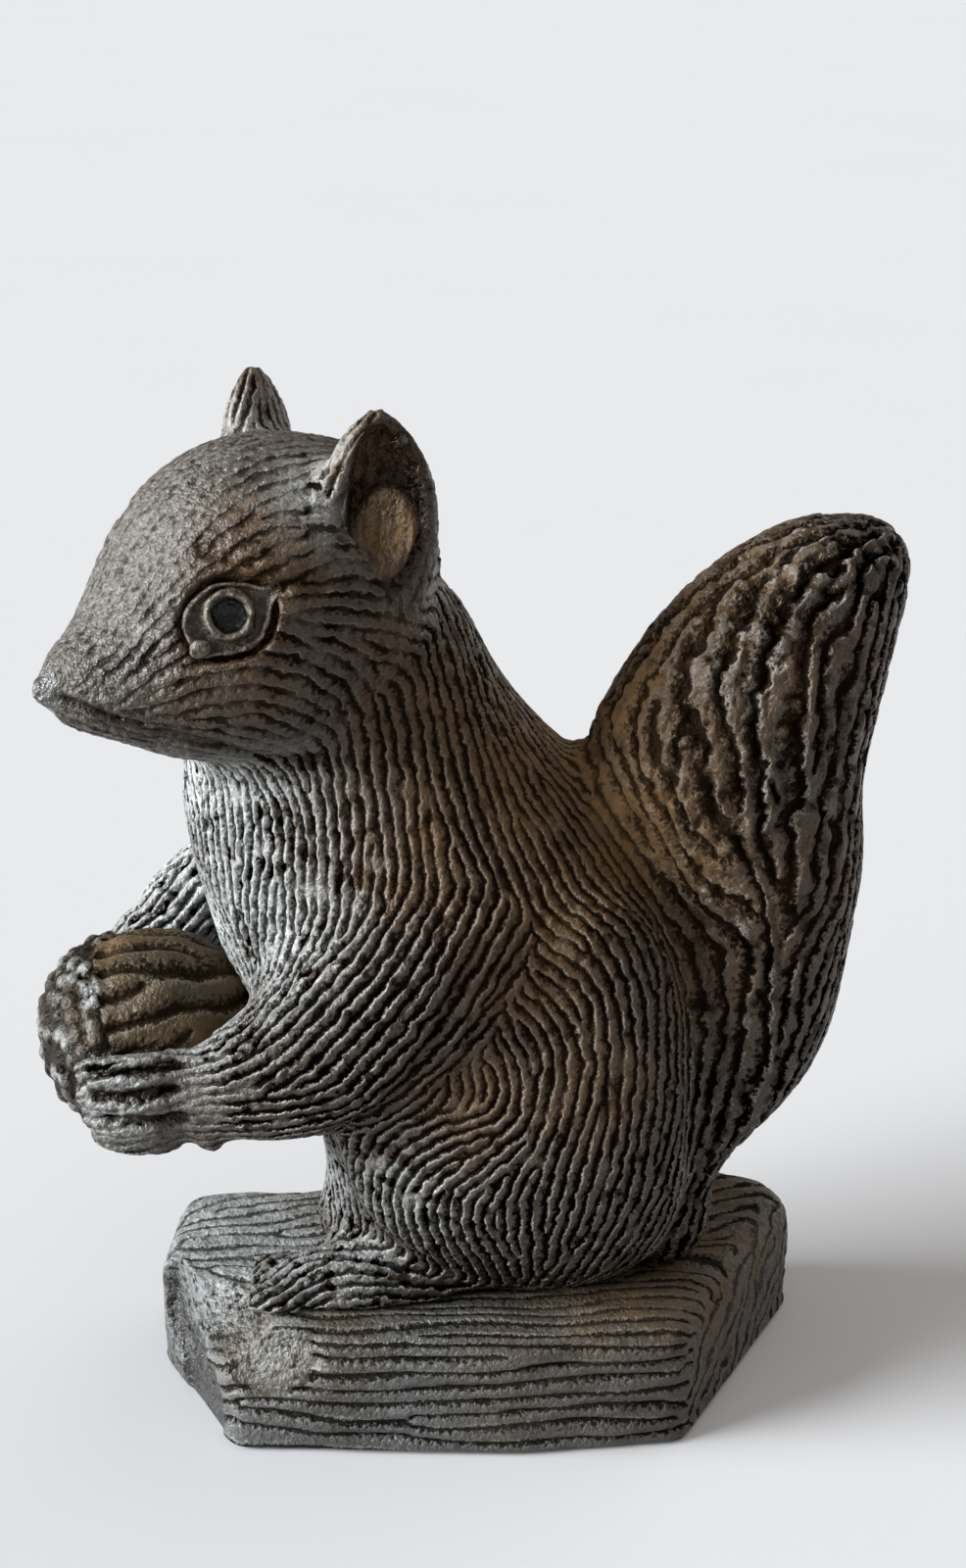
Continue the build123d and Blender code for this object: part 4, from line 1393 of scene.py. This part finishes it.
def combed_skin(piece, field, rounds):
    """A single casting's skin, refined and with ridges grown on it."""
    mesh = piece.data
    places, normals, quads = places_of(mesh), normals_of(mesh), quads_of(mesh)
    here, there = links_of(quads)
    field = field.copy()
    field[:, :3] = flat_on_skin(field[:, :3], normals)
    angle = np.exp(2j * np.pi * chance.random(len(places)))
    angle = grow_ridges(angle, places, normals, field[:, :3], field[:, 3], here, there, rounds)
    return refine(piece, field, angle, np.zeros(len(quads)), fine_rounds)


def spread_points(count):
    """Points spread evenly over a ball, along a spiral."""
    height = 1 - 2 * (np.arange(count) + 0.5) / count
    turn = np.arange(count) * math.pi * (3 - math.sqrt(5))
    level = np.sqrt(1 - height ** 2)
    return np.stack([level * np.cos(turn), level * np.sin(turn), height], axis=1)


acorn = fuse(["nut"], "acorn", 0.34 * mm)
acorn_places = places_of(acorn.data)
acorn_field = np.zeros((len(acorn_places), 5))
acorn_field[:, :3] = acorn_axis
acorn_field[:, 3] = rib_width
acorn_field[:, 4] = rib_depth
places, normals, quads, _, nut_angle, _ = combed_skin(acorn, acorn_field, 250)
along = (places - acorn_rim) @ acorn_axis
cup = ease(along, -0.4 * mm, 0.3 * mm)
pebble_count = int(4 * math.pi * (cup_reach / pebble_size) ** 2)
pebbles = acorn_rim + acorn_axis * 1.0 * mm + cup_reach * spread_points(pebble_count)
pebbles += chance.normal(0, 0.36 * mm, pebbles.shape)
pebble = nearness(places, pebbles, 0.52 * pebble_size, 4000)
nut_angle = nut_angle * np.exp(0.5j * ripples(places, 4 * mm))
uneven = 1 + ripples(places, 3 * mm)
shell_depth = rib_depth * grooves_of(nut_angle) + 0.10 * mm * uneven
nut_depth = (1 - cup) * shell_depth + cup * pebble_depth * (1 - pebble)
nut_depth = np.maximum(nut_depth + cup * 0.05 * mm * uneven, 0)
put_places(acorn.data, places - nut_depth[:, None] * normals)
bare_angle = np.stack([
    (1 - cup) * nut_angle.real + cup * (2 * pebble - 1), (1 - cup) * nut_angle.imag,
    (1 - cup) * 0.3 + cup * 0.09], axis=1)
nut_dust = np.clip(0.55 * (1 - cup) + 0.25 * ripples(places, 6 * mm), 0, 1)
# The pale on the cup is partly bloom and partly a painted highlight on the pebbles.
nut_bloom_and_highlight = cup * np.clip(0.15 + 0.45 * ripples(places, 3.5 * mm), 0, 0.8)
# The gaps between the cup's pebbles are sunk, and so painted dark as shade.
nut_dust_and_painted_light = np.stack([nut_dust, nut_bloom_and_highlight, 0.3 * cup * (1 - pebble)], axis=1)
nut_marks = {"comb": bare_angle, "patina": nut_dust_and_painted_light}
nut_piece = part_out("acorn_stone", quads, places_of(acorn.data), normals_of(acorn.data), nut_marks)
bpy.data.objects.remove(acorn)
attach(nut_piece, "root")
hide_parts("nut")
nut_piece.data.materials.append(cast_stone(
    "nut_stone",
    groove_shade_colour=(0.003, 0.002, 0.001, 1),
    band_colour=(0.040, 0.028, 0.017, 1),
    worn_and_highlight_colour=(0.40, 0.37, 0.31, 1),
    dust_colour=(0.130, 0.078, 0.030, 1),
))
print("acorn:", len(nut_piece.data.polygons), "faces")

# %% [markdown]
# ## The split log
# The stand is a length of split wood, cast in the same stone: long grain on the bark side and the top, an
# oblique sawn end, and a few hewn flats at the head end that have been rubbed smooth. It is one casting, so
# it is remeshed on its own, its edges are worn round, the flats are cut with planes, and the grain is
# combed in with strokes like the fur's. Its grooves are narrower than the fur's, so that flat splinters are
# left between them.

# %% Strokes on the log
log_strokes = [
    (1.45, 0.5, ((225, 1448), (330, 1455), (450, 1462), (580, 1458), (685, 1448))),
    (1.45, 0.55, ((215, 1420), (330, 1428), (450, 1425), (580, 1420), (690, 1412))),
    (1.40, 0.5, ((320, 1395), (450, 1392), (580, 1388), (690, 1385))),
    (1.30, 0.5, ((330, 1365), (450, 1362), (580, 1368), (690, 1362))),
    (1.15, 0.32, ((360, 1345), (480, 1342), (600, 1348), (695, 1345))),
    (1.56, 0.04, ((172, 1325), (190, 1335), (220, 1335), (248, 1335))),
    (1.56, 0.096, ((200, 1375), (240, 1380), (295, 1380))),
    (1.46, 0.24, ((180, 1250), (240, 1235), (320, 1220))),
    (1.46, 0.2, ((185, 1280), (225, 1272), (255, 1268))),
    (1.37, 0.24, ((600, 1300), (660, 1285), (735, 1270))),
    (1.37, 0.24, ((680, 1250), (720, 1240), (765, 1228))),
    (1.37, 0.2, ((520, 1330), (600, 1322), (700, 1318))),
    (2.15, 0.13, ((780, 1240), (762, 1290), (740, 1350), (712, 1420))),
    (2.15, 0.13, ((800, 1250), (785, 1300), (760, 1350))),
    (1.95, 0.08, ((170, 1260), (168, 1300), (180, 1370))),
]
hewn_flats = [
    (1.4, 4.6, (184, 1338)), (1.2, 4.2, (228, 1340)), (0.8, 3.8, (275, 1385)), (0.6, 4.0, (205, 1420)),
]
log_dust_spots = [
    (9, 0.9, (700, 1240)), (8, 0.9, (620, 1310)), (6, 0.8, (760, 1270)), (6, 0.5, (330, 1340)),
    (5, 0.6, (275, 1375)), (7, 0.5, (740, 1340)), (8, 0.4, (560, 1400)),
]
# Pale spots on the log: partly bloom, and partly a painted highlight where the window lights its top and
# end.
log_bloom_and_highlight_spots = [
    (4, 0.9, (275, 1385)), (7, 0.8, (250, 1240)), (4, 0.6, (200, 1255)), (7, 0.2, (250, 1440)),
    (6, 0.4, (300, 1225)), (9, 0.15, (420, 1430)), (9, 0.15, (560, 1430)),
]
log_round_rounds = 14
log_wave = 0.30 * mm
grain_power = 4.5

log = fuse(["log_base"], "log", 0.56 * mm)
log_places, log_quads = places_of(log.data), quads_of(log.data)
here, there = links_of(log_quads)
under = ease(log_places[:, 2], 0.3 * mm, 2.0 * mm)[:, None]
for _ in range(log_round_rounds):
    middle = mean_of_neighbours(log_places, here, there, len(log_places))
    log_places += 0.5 * under * (middle - log_places)
put_places(log.data, log_places)
log_tree = tree_of_skin(log)
hewn = np.zeros(len(log_places))
for depth, reach, pixel in hewn_flats:
    spot, aim, _, _ = log_tree.ray_cast(camera_place, line_of_sight(pixel))
    away = log_places - np.array(spot)
    share = 1 - ease(np.linalg.norm(away, axis=1), 0.9 * reach * mm, reach * mm)
    hewn = np.maximum(hewn, share * (away @ np.array(aim) > -depth * mm))
    log_places -= (share * np.maximum(away @ np.array(aim) + depth * mm, 0))[:, None] * np.array(aim)
put_places(log.data, log_places)
log_strokes_laid = lay_strokes(log_tree, log_strokes, body_middle, body_side)
log_field = spread(log_places, log_strokes_laid)
for _ in range(4):
    log_field = 0.5 * log_field + 0.5 * mean_of_neighbours(log_field, here, there, len(log_places))
log_field[:, 4] *= 1 - 0.95 * hewn
hewn_places = log_places[hewn > 0.5]
print("log:", len(log_places), "vertices,", len(log_strokes_laid[0]), "samples of strokes")

# %% Carve the grain
places, normals, quads, sizes, log_angle, _ = combed_skin(log, log_field, 90)
stretched = places * np.array((0.13, 1.0, 1.0))
log_angle = log_angle * np.exp(1j * 1.6 * ripples(stretched, 3.2 * mm))
marks_along = ripples(stretched, 1.1 * mm)
plain_share = 1 - ease(sizes[:, 1], 0.06 * mm, 0.22 * mm)
bark = np.clip(0.75 + 0.45 * marks_along, 0, 1.3)
streaks = 0.09 * mm * (1 - plain_share) * (1 + marks_along)
log_depth = sizes[:, 1] * grooves_of(log_angle, grain_power) * bark + streaks
log_depth += log_wave * 0.5 * (1 - plain_share) * np.clip(1 + ripples(places, 9 * mm), 0, 2)
log_depth *= ease(places[:, 2], 0.2 * mm, 1.5 * mm)
put_places(log.data, places - np.maximum(log_depth, 0)[:, None] * normals)
# The hewn flats, which face the window, are painted darker and made a black metal: a painted shade.
hewn_flat_shade = 0.25 * nearness(places, hewn_places, 0.5 * mm, 2000)
log_marks = {
    "comb": np.stack([log_angle.real, log_angle.imag, sizes[:, 1] / mm], axis=1),
    "patina": np.stack([
        spotted(places, log_tree, log_dust_spots), spotted(places, log_tree, log_bloom_and_highlight_spots), hewn_flat_shade], axis=1),
}
log_piece = part_out("log_stone", quads, places_of(log.data), normals_of(log.data), log_marks)
bpy.data.objects.remove(log)
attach(log_piece, "root")
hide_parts("log_base")
log_piece.data.materials.append(cast_stone(
    "log_stone",
    groove_shade_colour=(0.006, 0.005, 0.004, 1),
    band_colour=(0.050, 0.047, 0.044, 1),
    worn_and_highlight_colour=(0.36, 0.35, 0.33, 1),
    dust_colour=(0.130, 0.080, 0.034, 1),
    power=grain_power,
))
print("log:", len(log_piece.data.polygons), "faces")
